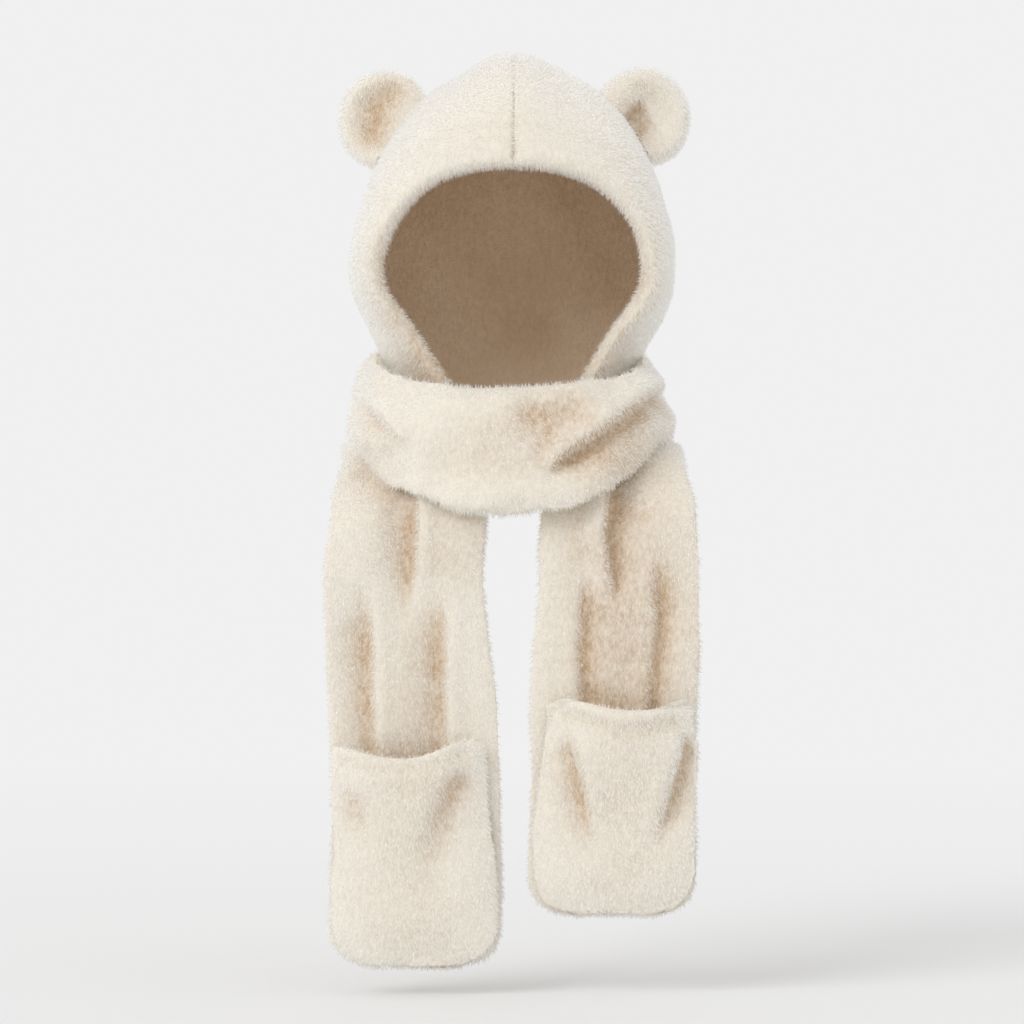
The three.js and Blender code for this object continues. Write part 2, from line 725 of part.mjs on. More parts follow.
function tailRelief(folds, across, down) {
  return folds.reduce((sum, fold) => {
    const run = clamp((down - fold.from) / (fold.to - fold.from), 0, 1);
    const at = THREE.MathUtils.lerp(fold.across, fold.endAcross, run);
    const away = ((across - at) * tailWidth) / 2 / (tailFoldWidth * fold.wide);
    const starts = ease(fold.from - foldLead, fold.from + foldSettle, down);
    const ends = ease(fold.to, fold.to - foldTrail, down);
    return sum + tailFoldDepth * fold.deep * starts * ends * Math.exp(-away * away);
  }, 0);
}

function tailLoops(tail) {
  return tailStations(tail.bottomZ).map((s) => {
    const edges = tailEdges(tail, s.y, s.z);
    const half = roundedHalf((edges.outer - edges.inner) / 2, s.z - tail.bottomZ);
    const thick = tailThickness * endRound(s.z - tail.bottomZ);
    const middle = (tail.side * (edges.inner + edges.outer)) / 2;
    const place = (across, face) => {
      const relief = tailRelief(tail.folds, across, (crestZ - s.z) / (crestZ - tail.mouthZ));
      const spare = (tailThickness - thick * edgeRound(across)) / 2;
      const depth = relief + (face === 'outer' ? spare : tailThickness - spare);
      return new THREE.Vector3(middle + half * across, s.y - s.outY * depth, s.z - s.outZ * depth);
    };
    const outer = acrossStations.map((across) => place(across, 'outer'));
    const inner = acrossStations.map((across) => place(across, 'inner')).reverse();
    return [...outer, ...inner];
  });
}

// Pocket: a padded panel whose side and bottom margins lie on the tail and whose middle
// stands off it, so a hand goes in at the mouth. Its inner side starts inset from the tail's
// edge and joins it at the bottom.
function pocketLoops(tail) {
  const height = tail.mouthZ - tail.bottomZ;
  return Array.from({ length: pocketRows + 1 }, (_, i) => {
    const down = (i / pocketRows) ** pocketRowSpacing;
    const depthDown = down * height;
    const level = THREE.MathUtils.lerp(tail.mouthZ, tail.bottomZ, down);
    const edges = tailEdges(tail, -tailForward, level);
    const widened = ease(0, pocketWidenShare, down);
    const inner = edges.inner + THREE.MathUtils.lerp(pocketInset, pocketOuterInset, widened);
    const outer = edges.outer - pocketOuterInset;
    const middle = (tail.side * (inner + outer)) / 2;
    const place = (across, face) => {
      const lift = pocketHem * tableValue(tail.mouth, 'across', across, 'lift');
      const z = THREE.MathUtils.lerp(tail.mouthZ + lift, tail.bottomZ + pieceGap, down);
      const half = roundedHalf((outer - inner) / 2, z - tail.bottomZ);
      const open = 1 - clamp(Math.abs(across) / pocketOpenHalfShare, 0, 1) ** 3;
      const sag = THREE.MathUtils.lerp(1, pocketLowShare, ease(0, pocketBagEnd, down));
      const bag = pocketStandOff * sag * ease(pocketCloseEnd, pocketCloseStart, down);
      const hem = pocketHemSwell * (1 - ease(0.5, 1, depthDown / pocketHem));
      const fullHalf = (outer - inner) / 2;
      const crease = tail.pocketFolds.reduce((sum, fold) => {
        const felt = creaseAt(across * fullHalf, depthDown, fold.across * fullHalf, fold.down * height,
          fold.endAcross * fullHalf, fold.endDown * height, pocketFoldWidth * fold.wide);
        return sum + fold.deep * pocketFoldDepth * felt;
      }, 0);
      const lipRise = Math.sqrt(ease(0, pocketLipRun * pocketWall, depthDown));
      const lipRound = THREE.MathUtils.lerp(pocketLipShare, 1, lipRise);
      const wall = (pocketWall + hem) * edgeRound(across) * endRound(z - tail.bottomZ) * lipRound;
      const margin = tailForward + pieceGap + bag * open;
      const out = face === 'outer' ? margin + wall - crease : margin;
      return new THREE.Vector3(middle + half * across, -out, z);
    };
    const front = acrossStations.map((across) => place(across, 'outer'));
    const back = acrossStations.map((across) => place(across, 'inner')).reverse();
    return [...front, ...back];
  });
}

const leftTail = {
  side: -1,
  spread: leftTailSpread,
  endSpread: leftTailEndSpread,
  bottomZ: -leftTailDrop,
  mouthZ: -leftTailDrop + leftPocketHeight,
  folds: leftTailFolds,
  pocketFolds: leftPocketFolds,
  mouth: leftMouth,
};
const rightTail = {
  side: 1,
  spread: rightTailSpread,
  endSpread: rightTailEndSpread,
  bottomZ: -rightTailDrop,
  mouthZ: -rightTailDrop + rightPocketHeight,
  folds: rightTailFolds,
  pocketFolds: rightPocketFolds,
  mouth: rightMouth,
};

const plush = { color: plushColour, roughness: 0.95, metalness: 0 };
const beige = { color: liningColour, roughness: 0.95, metalness: 0 };
const scarf = new THREE.Group();

function addPiece(name, geometry, look) {
  const mesh = new THREE.Mesh(geometry, new THREE.MeshStandardMaterial(look));
  mesh.name = name;
  scarf.add(mesh);
}

const rightPanel = panelLoops();
const plug = hoodPlug();
addPiece('hood_panel_right', skin(rightPanel, false), plush);
addPiece('hood_panel_left', skin(mirrored(rightPanel), false), plush);
addPiece('hood_lining', skin(liningLoops(), false, (i) => i < panelArchSteps), beige);
addPiece('ear_left', earGeometry(-1, plug), plush);
addPiece('ear_right', earGeometry(1, plug), plush);
addPiece('neck_wrap', skin(wrapLoops(), true), plush);
addPiece('tail_left', skin(tailLoops(leftTail), false), plush);
addPiece('tail_right', skin(tailLoops(rightTail), false), plush);
addPiece('pocket_left', skin(pocketLoops(leftTail), false), plush);
addPiece('pocket_right', skin(pocketLoops(rightTail), false), plush);

export default scarf;
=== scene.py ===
import math
import bpy
import bmesh
import numpy as np
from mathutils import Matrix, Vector


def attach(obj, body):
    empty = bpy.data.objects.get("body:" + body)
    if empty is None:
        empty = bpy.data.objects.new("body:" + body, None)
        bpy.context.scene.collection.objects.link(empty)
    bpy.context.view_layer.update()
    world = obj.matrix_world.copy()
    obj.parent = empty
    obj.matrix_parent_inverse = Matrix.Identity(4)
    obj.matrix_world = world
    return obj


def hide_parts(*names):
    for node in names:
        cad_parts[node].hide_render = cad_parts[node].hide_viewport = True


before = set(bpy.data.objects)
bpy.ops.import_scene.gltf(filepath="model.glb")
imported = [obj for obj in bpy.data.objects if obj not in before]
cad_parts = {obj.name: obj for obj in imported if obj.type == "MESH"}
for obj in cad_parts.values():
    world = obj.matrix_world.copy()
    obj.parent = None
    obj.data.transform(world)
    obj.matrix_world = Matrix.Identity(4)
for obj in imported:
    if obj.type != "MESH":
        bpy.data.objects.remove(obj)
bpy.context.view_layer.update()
scene = bpy.context.scene

# Shared values; lengths are in metres
common = {
    "skinSink": 0.0016,  # how far a skin lies under the surface that its pile makes
    "subdivisions": 2,
    "seed": 11,
    "toneSteady": 0.9,  # the part of a fold's tone that is the same everywhere
    "toneLump": 0.12,
    "toneLumpSize": 0.014,
    "toneLumpSeed": 29,
    "toneMost": 0.92,
    "hollowShade": 0.45,  # how much painted shade a hollow gets
    "waver": 0.0009,  # how far a fold's line wanders, and over what length
    "waverSize": 0.05,
    "growRounds": 4,  # how evenly the pile stands
    "freeEnd": (0.006, 0.001),  # over a free end, the heights between which the pile turns down
    "freeEndDown": 2,
    "droopHeight": 0.03,  # how high above a free end its droop starts
    "seamHalf": 0.0006,  # how near the middle plane a skin counts as lying on it
}

# The form of a fold; lengths are in metres. "lap" is for one with a layer over the other
foldForm = {
    "narrowest": 0.35,  # its width where it fades out, as a part of its full width
    "bulgeAway": 0.007,  # how far from the line the upper layer is fullest
    "bulgeWidth": 0.008,
    "drop": (-0.001, 0.003),
    "lapEdgeShade": 0.0022,  # how far up the upper layer the painted shade along its edge reaches
    # how far the painted shade spreads beside a fold, as a part of its width, and how fast it falls off
    "lapToneSpread": 1.2,
    "lapToneFall": 1.4,
    "plainToneSpread": 1.25,
}


# Mesh helpers

def linkNew(name, mesh):
    piece = bpy.data.objects.new(name, mesh)
    scene.collection.objects.link(piece)
    return piece


def finishedMesh(piece):
    # the evaluated mesh, with every modifier in it
    graph = bpy.context.evaluated_depsgraph_get()
    return bpy.data.meshes.new_from_object(piece.evaluated_get(graph))


def getCo(mesh):
    co = np.zeros(len(mesh.vertices) * 3, np.float32)
    mesh.vertices.foreach_get("co", co)
    return co.reshape(-1, 3).astype(float)


def setCo(mesh, co):
    mesh.vertices.foreach_set("co", co.astype(np.float32).ravel())
    mesh.update()


def getNormals(mesh):
    normals = np.zeros(len(mesh.vertices) * 3, np.float32)
    mesh.vertex_normals.foreach_get("vector", normals)
    return normals.reshape(-1, 3).astype(float)


def getEdges(mesh):
    edges = np.zeros(len(mesh.edges) * 2, np.int32)
    mesh.edges.foreach_get("vertices", edges)
    return edges.reshape(-1, 2)


def averaged(values, edges, rounds):
    # each value becomes the mean of its neighbours, so many rounds make it broad
    count = np.zeros(len(values))
    np.add.at(count, edges.ravel(), 1)
    count = np.maximum(count, 1)
    for _ in range(rounds):
        total = np.zeros_like(values)
        np.add.at(total, edges[:, 0], values[edges[:, 1]])
        np.add.at(total, edges[:, 1], values[edges[:, 0]])
        mean = total / (count[:, None] if values.ndim == 2 else count)
        values = 0.5 * values + 0.5 * mean
    return values


def ease(low, high, value):
    t = np.clip((value - low) / (high - low), 0, 1)
    return t * t * (3 - 2 * t)


def lumps(co, size, seed, waves=14):
    # smooth seeded unevenness from -1 to 1 with features of about this size
    rng = np.random.default_rng(seed)
    total = np.zeros(len(co))
    for _ in range(waves):
        way = rng.normal(size=3)
        way /= np.linalg.norm(way)
        turns = rng.uniform(0.55, 1.5) * math.pi / size
        total += np.sin(co @ way * turns + rng.uniform(0, 2 * math.pi))
    return total / math.sqrt(waves)


# The object's sides, as seen from the front, and their way along X
sides = (("right", 1), ("left", -1))


def lineField(a, b, path):
    # distance from a bent line, place along it from 0 to 1, and side (above 0 on its left)
    path = np.array(path, float)
    steps = np.linalg.norm(path[1:] - path[:-1], axis=1)
    before = np.concatenate([[0], np.cumsum(steps)]) / steps.sum()
    best = np.full(len(a), 1e9)
    along = np.zeros(len(a))
    side = np.ones(len(a))
    for i in range(len(steps)):
        run = path[i + 1] - path[i]
        t = np.clip(((a - path[i, 0]) * run[0] + (b - path[i, 1]) * run[1]) / (run @ run), 0, 1)
        da = a - path[i, 0] - run[0] * t
        db = b - path[i, 1] - run[1] * t
        away = np.hypot(da, db)
        nearer = away < best
        best = np.where(nearer, away, best)
        along = np.where(nearer, before[i] + t * (before[i + 1] - before[i]), along)
        side = np.where(nearer, np.sign(run[0] * db - run[1] * da + 1e-12), side)
    return best, along, side


def foldMarks(a, b, marks):
    # how far each fold moves the cloth, and how much painted shade it gets
    move = np.zeros(len(a))
    plain = np.ones(len(a))
    for mark in marks:
        away, along, side = lineField(a, b, mark["path"])
        starts, ends = mark.get("fade", (0, 0))
        felt = np.ones(len(a))
        if starts:
            felt = felt * ease(0, starts, along)
        if ends:
            felt = felt * ease(1, 1 - ends, along)
        wide = mark["wide"] * (1 - along * (1 - mark.get("thin", 1)))
        wide = wide * (foldForm["narrowest"] + (1 - foldForm["narrowest"]) * felt)
        if "over" in mark:
            # the layer on one side lies over the other: full up to the line, then a drop
            over = side * mark["over"] > 0
            bulge = np.exp(-((away - foldForm["bulgeAway"]) / foldForm["bulgeWidth"]) ** 2)
            drop = ease(*foldForm["drop"], np.where(over, -away, away))
            recess = np.exp(-(away / wide) ** 2) * drop
            move += felt * (mark.get("lap", 0.0) * bulge * over - mark["deep"] * recess)
            # painted shade: a thin line under the edge of the upper layer, and broad shade in the recess
            # below it
            lapEdgeShade = np.exp(-(away / foldForm["lapEdgeShade"]) ** 2)
            recessShade = np.exp(-(away / (foldForm["lapToneSpread"] * wide)) ** foldForm["lapToneFall"])
            tone = np.where(over, lapEdgeShade, recessShade)
        else:
            move -= felt * mark["deep"] * np.exp(-(away / wide) ** 2)
            # painted shade spreading from the crease
            tone = np.exp(-(away / (foldForm["plainToneSpread"] * wide)) ** 2)
        plain = plain * (1 - np.clip(felt * mark["tone"] * tone, 0, 1))
    return move, 1 - plain


# How the worn cloth has settled on the head and shoulders: tables of a level or a place, and a move
settling = {
    # by level in Z: how far the outer half of each side has moved in X
    "right": [(-0.650, 0.003), (-0.585, 0.003), (-0.555, 0.002), (-0.530, 0.001), (-0.465, 0.002),
              (-0.440, 0.005), (-0.410, 0.006), (-0.375, 0.005), (-0.330, 0), (-0.315, -0.004),
              (-0.300, -0.006), (-0.285, -0.004), (-0.270, -0.008), (-0.256, -0.012), (-0.240, -0.012),
              (-0.210, -0.010), (-0.190, -0.002), (-0.170, 0.003), (-0.125, 0.003), (-0.100, 0)],
    "left": [(-0.690, -0.005), (-0.585, -0.005), (-0.530, -0.004), (-0.500, -0.005), (-0.440, -0.005),
             (-0.410, -0.0035), (-0.375, -0.003), (-0.345, 0), (-0.330, 0.002), (-0.317, 0.004),
             (-0.300, 0.003), (-0.285, -0.001), (-0.270, 0.002), (-0.256, 0.007), (-0.240, 0.006),
             (-0.225, 0.005), (-0.210, 0.005), (-0.185, -0.001), (-0.170, -0.005), (-0.150, -0.006),
             (-0.130, -0.004), (-0.100, 0)],
    "outerHalf": (0.05, 0.11),
    # how far the outer shoulder of each tail goes back round the neck, in Y
    "shoulder": {"left": 0.036, "right": 0.008},
    "shoulderOuter": (0.065, 0.115),
    "shoulderFoot": (-0.350, -0.305),
    "shoulderTop": (-0.270, -0.285),
    # by distance from the seam: how far the crown stands up
    "crown": [(0, 0.0045), (0.009, 0.0057), (0.018, 0.0074), (0.028, 0.0063), (0.040, 0.0040),
              (0.052, 0.0018), (0.070, 0)],
    "crownLevels": (-0.09, -0.03),
}


def readTable(table, places):
    table = np.array(table)
    return np.interp(places, table[:, 0], table[:, 1])


def settled(co):
    co = co.copy()
    for side, way in sides:
        outer = ease(*settling["outerHalf"], way * co[:, 0])
        co[:, 0] += readTable(settling[side], co[:, 2]) * outer
    for side, way in sides:
        co[:, 1] += settling["shoulder"][side] * ease(*settling["shoulderOuter"], way * co[:, 0]) * \
            ease(*settling["shoulderFoot"], co[:, 2]) * ease(*settling["shoulderTop"], co[:, 2])
    crown = ease(*settling["crownLevels"], co[:, 2])
    co[:, 2] += crown * readTable(settling["crown"], np.abs(co[:, 0]))
    return co


def roundOff(piece, levels):
    # subdivides a piece for good, and shades it smooth
    rounding = piece.modifiers.new("rounding", "SUBSURF")
    rounding.levels = levels
    rounding.render_levels = levels
    smooth = finishedMesh(piece)
    piece.modifiers.clear()
    piece.data = smooth
    for polygon in smooth.polygons:
        polygon.use_smooth = True


def softSkin(node, name, flatEnds=False):
    # a smooth copy of a node: its triangles joined to quads, then subdivided; flat ends become one face
    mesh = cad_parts[node].data.copy()
    mesh.materials.clear()
    bm = bmesh.new()
    bm.from_mesh(mesh)
    bmesh.ops.remove_doubles(bm, verts=bm.verts, dist=1e-6)
    if flatEnds:
        bm.normal_update()
        ends = [face for face in bm.faces if abs(face.normal.z) > 0.99]
        bmesh.ops.dissolve_faces(bm, faces=ends)
    bmesh.ops.join_triangles(
        bm, faces=bm.faces, angle_face_threshold=math.pi, angle_shape_threshold=math.pi)
    bm.to_mesh(mesh)
    bm.free()
    piece = linkNew(name, mesh)
    roundOff(piece, common["subdivisions"])
    return piece


def filledOut(piece, air, held):
    # a closed skin, remade in even cells, filled with air by a cloth simulation where it isn't held
    evener = piece.modifiers.new("even", "REMESH")
    evener.mode = "VOXEL"
    evener.voxel_size = air["cell"]
    mesh = finishedMesh(piece)
    piece.modifiers.clear()
    piece.data = mesh
    edges = getEdges(mesh)
    start = averaged(getCo(mesh), edges, 2)
    setCo(mesh, start)
    normals = getNormals(mesh)
    start = start - normals * air["smaller"]
    setCo(mesh, start)
    pins = piece.vertex_groups.new(name="held")
    for index, weight in enumerate(held(start, normals)):
        if weight > 0.01:
            pins.add([index], float(weight), "REPLACE")
    cloth = piece.modifiers.new("air", "CLOTH")
    cloth.settings.quality = air["quality"]
    cloth.settings.tension_stiffness = air["stiffness"]
    cloth.settings.compression_stiffness = air["stiffness"]
    cloth.settings.shear_stiffness = air["stiffness"] / 2
    cloth.settings.bending_stiffness = air["bending"]
    cloth.settings.shrink_min = -air["spare"]
    cloth.settings.use_pressure = True
    cloth.settings.uniform_pressure_force = air["pressure"]
    cloth.settings.vertex_group_mass = "held"
    cloth.settings.effector_weights.gravity = 0
    cloth.collision_settings.use_collision = False
    for step in range(1, air["steps"] + 1):
        scene.frame_set(step)
    shift = getCo(finishedMesh(piece)) - start
    piece.modifiers.clear()
    piece.vertex_groups.clear()
    scene.frame_set(1)
    length = np.maximum(np.linalg.norm(shift, axis=1), 1e-9)
    shift *= np.minimum(1, air["cap"] / length)[:, None]
    setCo(mesh, start + averaged(shift, edges, 1))
    roundOff(piece, 1)
    pushed = 1000 * np.minimum(length, air["cap"])
    print("filled", piece.name, "by up to", round(pushed.max(), 1), "mm, mean", round(pushed.mean(), 2))


def hollowness(mesh, rounds):
    # above 0 where the skin is dished or creased, below 0 on ridges
    co = getCo(mesh)
    broad = averaged(co, getEdges(mesh), rounds)
    return np.einsum("ij,ij->i", broad - co, getNormals(mesh))


def addValue(mesh, name, values):
    layer = mesh.attributes.new(name, "FLOAT", "POINT")
    layer.data.foreach_set("value", values.astype(np.float32))


def addWay(mesh, name, ways):
    ways = ways / np.maximum(np.linalg.norm(ways, axis=1), 1e-9)[:, None]
    layer = mesh.attributes.new(name, "FLOAT_VECTOR", "POINT")
    layer.data.foreach_set("vector", ways.astype(np.float32).ravel())


# Materials

def rgb(hexColour):
    # linear colour from a screen colour
    parts = [int(hexColour[i:i + 2], 16) / 255 for i in (1, 3, 5)]
    return [p / 12.92 if p <= 0.04045 else ((p + 0.055) / 1.055) ** 2.4 for p in parts] + [1]


def newNode(tree, kind, **values):
    node = tree.nodes.new(kind)
    for key, value in values.items():
        setattr(node, key, value)
    return node


def mixColour(tree, factor, first, second, blend="MIX"):
    node = newNode(tree, "ShaderNodeMix", data_type="RGBA", blend_type=blend)
    for socket, value in ((node.inputs[0], factor), (node.inputs[6], first), (node.inputs[7], second)):
        if isinstance(value, bpy.types.NodeSocket):
            tree.links.new(value, socket)
        else:
            socket.default_value = value
    return node.outputs[2]


def ranged(tree, value, low, high, toLow, toHigh):
    node = newNode(tree, "ShaderNodeMapRange")
    tree.links.new(value, node.inputs["Value"])
    for name, number in zip(("From Min", "From Max", "To Min", "To Max"), (low, high, toLow, toHigh)):
        node.inputs[name].default_value = number
    return node.outputs["Result"]


def makePileGroup():
    # colour of a pile: warm and darker at the roots as painted shade deep in the pile, tan painted shade
    # in folds and hollows, pale at the tips, softly mottled at random
    tree = bpy.data.node_groups.new("pileColour", "ShaderNodeTree")
    sockets = tree.interface
    for name in ("Root", "Tip", "Fold"):
        sockets.new_socket(name, in_out="INPUT", socket_type="NodeSocketColor")
    for name in ("Along", "Mottle"):
        sockets.new_socket(name, in_out="INPUT", socket_type="NodeSocketFloat")
    sockets.new_socket("Colour", in_out="OUTPUT", socket_type="NodeSocketColor")
    sockets.new_socket("Roughness", in_out="OUTPUT", socket_type="NodeSocketFloat")
    given = newNode(tree, "NodeGroupInput")
    out = newNode(tree, "NodeGroupOutput")
    place = newNode(tree, "ShaderNodeTexCoord")
    broad = newNode(tree, "ShaderNodeTexNoise")
    broad.inputs["Scale"].default_value = 16
    broad.inputs["Detail"].default_value = 3
    fine = newNode(tree, "ShaderNodeTexNoise")
    fine.inputs["Scale"].default_value = 300
    fine.inputs["Detail"].default_value = 2
    hanging = newNode(tree, "ShaderNodeMapping")
    hanging.inputs["Scale"].default_value = (1, 1, 0.6)
    tree.links.new(place.outputs["Object"], broad.inputs["Vector"])
    tree.links.new(place.outputs["Object"], hanging.inputs["Vector"])
    tree.links.new(hanging.outputs["Vector"], fine.inputs["Vector"])
    # painted shade: the shade of folds and hollows noted on the skin, broken up by the fine strands, turns
    # the colour towards the tan
    tone = newNode(tree, "ShaderNodeAttribute", attribute_name="foldShade")
    parted = newNode(tree, "ShaderNodeMath", operation="MULTIPLY", use_clamp=True)
    tree.links.new(tone.outputs["Fac"], parted.inputs[0])
    tree.links.new(ranged(tree, fine.outputs["Fac"], 0.3, 0.7, 1.3, 0.6), parted.inputs[1])
    along = mixColour(tree, given.outputs["Along"], given.outputs["Root"], given.outputs["Tip"])
    folded = mixColour(tree, parted.outputs[0], along, given.outputs["Fold"])
    patches = ranged(tree, broad.outputs["Fac"], 0.3, 0.7, 0.0, 1.0)
    strength = newNode(tree, "ShaderNodeMath", operation="MULTIPLY")
    tree.links.new(patches, strength.inputs[0])
    tree.links.new(given.outputs["Mottle"], strength.inputs[1])
    mottled = mixColour(tree, strength.outputs[0], folded, given.outputs["Fold"])
    grain = ranged(tree, fine.outputs["Fac"], 0.25, 0.75, 0.92, 1.04)
    speckled = mixColour(tree, 1.0, mottled, grain, "MULTIPLY")
    tree.links.new(speckled, out.inputs["Colour"])
    tree.links.new(ranged(tree, fine.outputs["Fac"], 0.3, 0.7, 0.82, 0.97), out.inputs["Roughness"])
    return tree


pileGroup = makePileGroup()

plushLook = {
    # roots darker than tips: painted shade deep in the pile, which casts no shadow
    "root": "#E1D4C1",
    "tip": "#EFEBE0",
    # the tan of the painted shade in folds and hollows, also the colour of the random mottle
    "fold": "#C2A585",
    "mottle": 0.06,
    "sheen": 0.3,
    "softNormal": 0.35,
}
liningLook = {
    # roots darker than tips: painted shade deep in the pile, which casts no shadow
    "root": "#D6BA9B",
    "tip": "#F3E3CD",
    # the tan of the painted shade in folds and hollows, also the colour of the random mottle
    "fold": "#BC9871",
    "mottle": 0.3,
    "sheen": 0.2,
    "softNormal": 0.5,
}


def plushMaterial(name, look, isPile):
    material = bpy.data.materials.new(name)
    material.use_nodes = True
    tree = material.node_tree
    shader = tree.nodes["Principled BSDF"]
    group = newNode(tree, "ShaderNodeGroup", node_tree=pileGroup)
    group.inputs["Root"].default_value = rgb(look["root"])
    group.inputs["Tip"].default_value = rgb(look["tip"])
    group.inputs["Fold"].default_value = rgb(look["fold"])
    group.inputs["Mottle"].default_value = look["mottle"]
    tree.links.new(group.outputs["Colour"], shader.inputs["Base Color"])
    tree.links.new(group.outputs["Roughness"], shader.inputs["Roughness"])
    shader.inputs["Sheen Weight"].default_value = look["sheen"]
    shader.inputs["Sheen Roughness"].default_value = 0.6
    shader.inputs["Specular IOR Level"].default_value = 0.2
    if isPile:
        shader.inputs["Subsurface Weight"].default_value = 0.9
        shader.inputs["Subsurface Scale"].default_value = 0.003
        shader.inputs["Subsurface Radius"].default_value = (1.0, 0.95, 0.9)
        tip = newNode(tree, "ShaderNodeAttribute", attribute_name="alongLock")
        tree.links.new(ranged(tree, tip.outputs["Fac"], 0.0, 0.75, 0.0, 1.0), group.inputs["Along"])
        # the lock takes most of its shading from the cloth that it grows on
        clothNormal = newNode(tree, "ShaderNodeAttribute", attribute_name="clothNormal")
        ownNormal = newNode(tree, "ShaderNodeNewGeometry")
        blend = newNode(tree, "ShaderNodeMix", data_type="VECTOR")
        blend.inputs[0].default_value = look["softNormal"]
        tree.links.new(ownNormal.outputs["Normal"], blend.inputs[4])
        tree.links.new(clothNormal.outputs["Vector"], blend.inputs[5])
        unit = newNode(tree, "ShaderNodeVectorMath", operation="NORMALIZE")
        tree.links.new(blend.outputs[1], unit.inputs[0])
        tree.links.new(unit.outputs[0], shader.inputs["Normal"])
    else:
        group.inputs["Along"].default_value = 0.55
        place = newNode(tree, "ShaderNodeTexCoord")
        stretch = newNode(tree, "ShaderNodeMapping")
        stretch.inputs["Scale"].default_value = (1, 1, 0.4)
        tree.links.new(place.outputs["Object"], stretch.inputs["Vector"])
        fuzz = newNode(tree, "ShaderNodeTexNoise")
        fuzz.inputs["Scale"].default_value = 800
        fuzz.inputs["Detail"].default_value = 3
        tree.links.new(stretch.outputs["Vector"], fuzz.inputs["Vector"])
        bump = newNode(tree, "ShaderNodeBump")
        bump.inputs["Strength"].default_value = 0.6
        bump.inputs["Distance"].default_value = 0.0015
        tree.links.new(fuzz.outputs["Fac"], bump.inputs["Height"])
        tree.links.new(bump.outputs["Normal"], shader.inputs["Normal"])
    return material


plushCloth = plushMaterial("plush_cloth", plushLook, False)
plushPile = plushMaterial("plush_pile", plushLook, True)
liningCloth = plushMaterial("lining_cloth", liningLook, False)
liningPile = plushMaterial("lining_pile", liningLook, True)


# The pile: locks of fur set over a skin by Geometry Nodes

def lockMesh():
    # one pointed lock, 1 long and 1 wide, with its place along itself in an attribute
    turns = [2 * math.pi * k / 3 for k in range(3)]
    ring = [(0.5 * math.cos(turn), 0.5 * math.sin(turn), 0) for turn in turns]
    faces = [(k, (k + 1) % 3, 3) for k in range(3)] + [(2, 1, 0)]
    mesh = bpy.data.meshes.new("lock")
    mesh.from_pydata(ring + [(0, 0, 1)], [], faces)
    addValue(mesh, "alongLock", np.array([0.0, 0.0, 0.0, 1.0]))
    return mesh


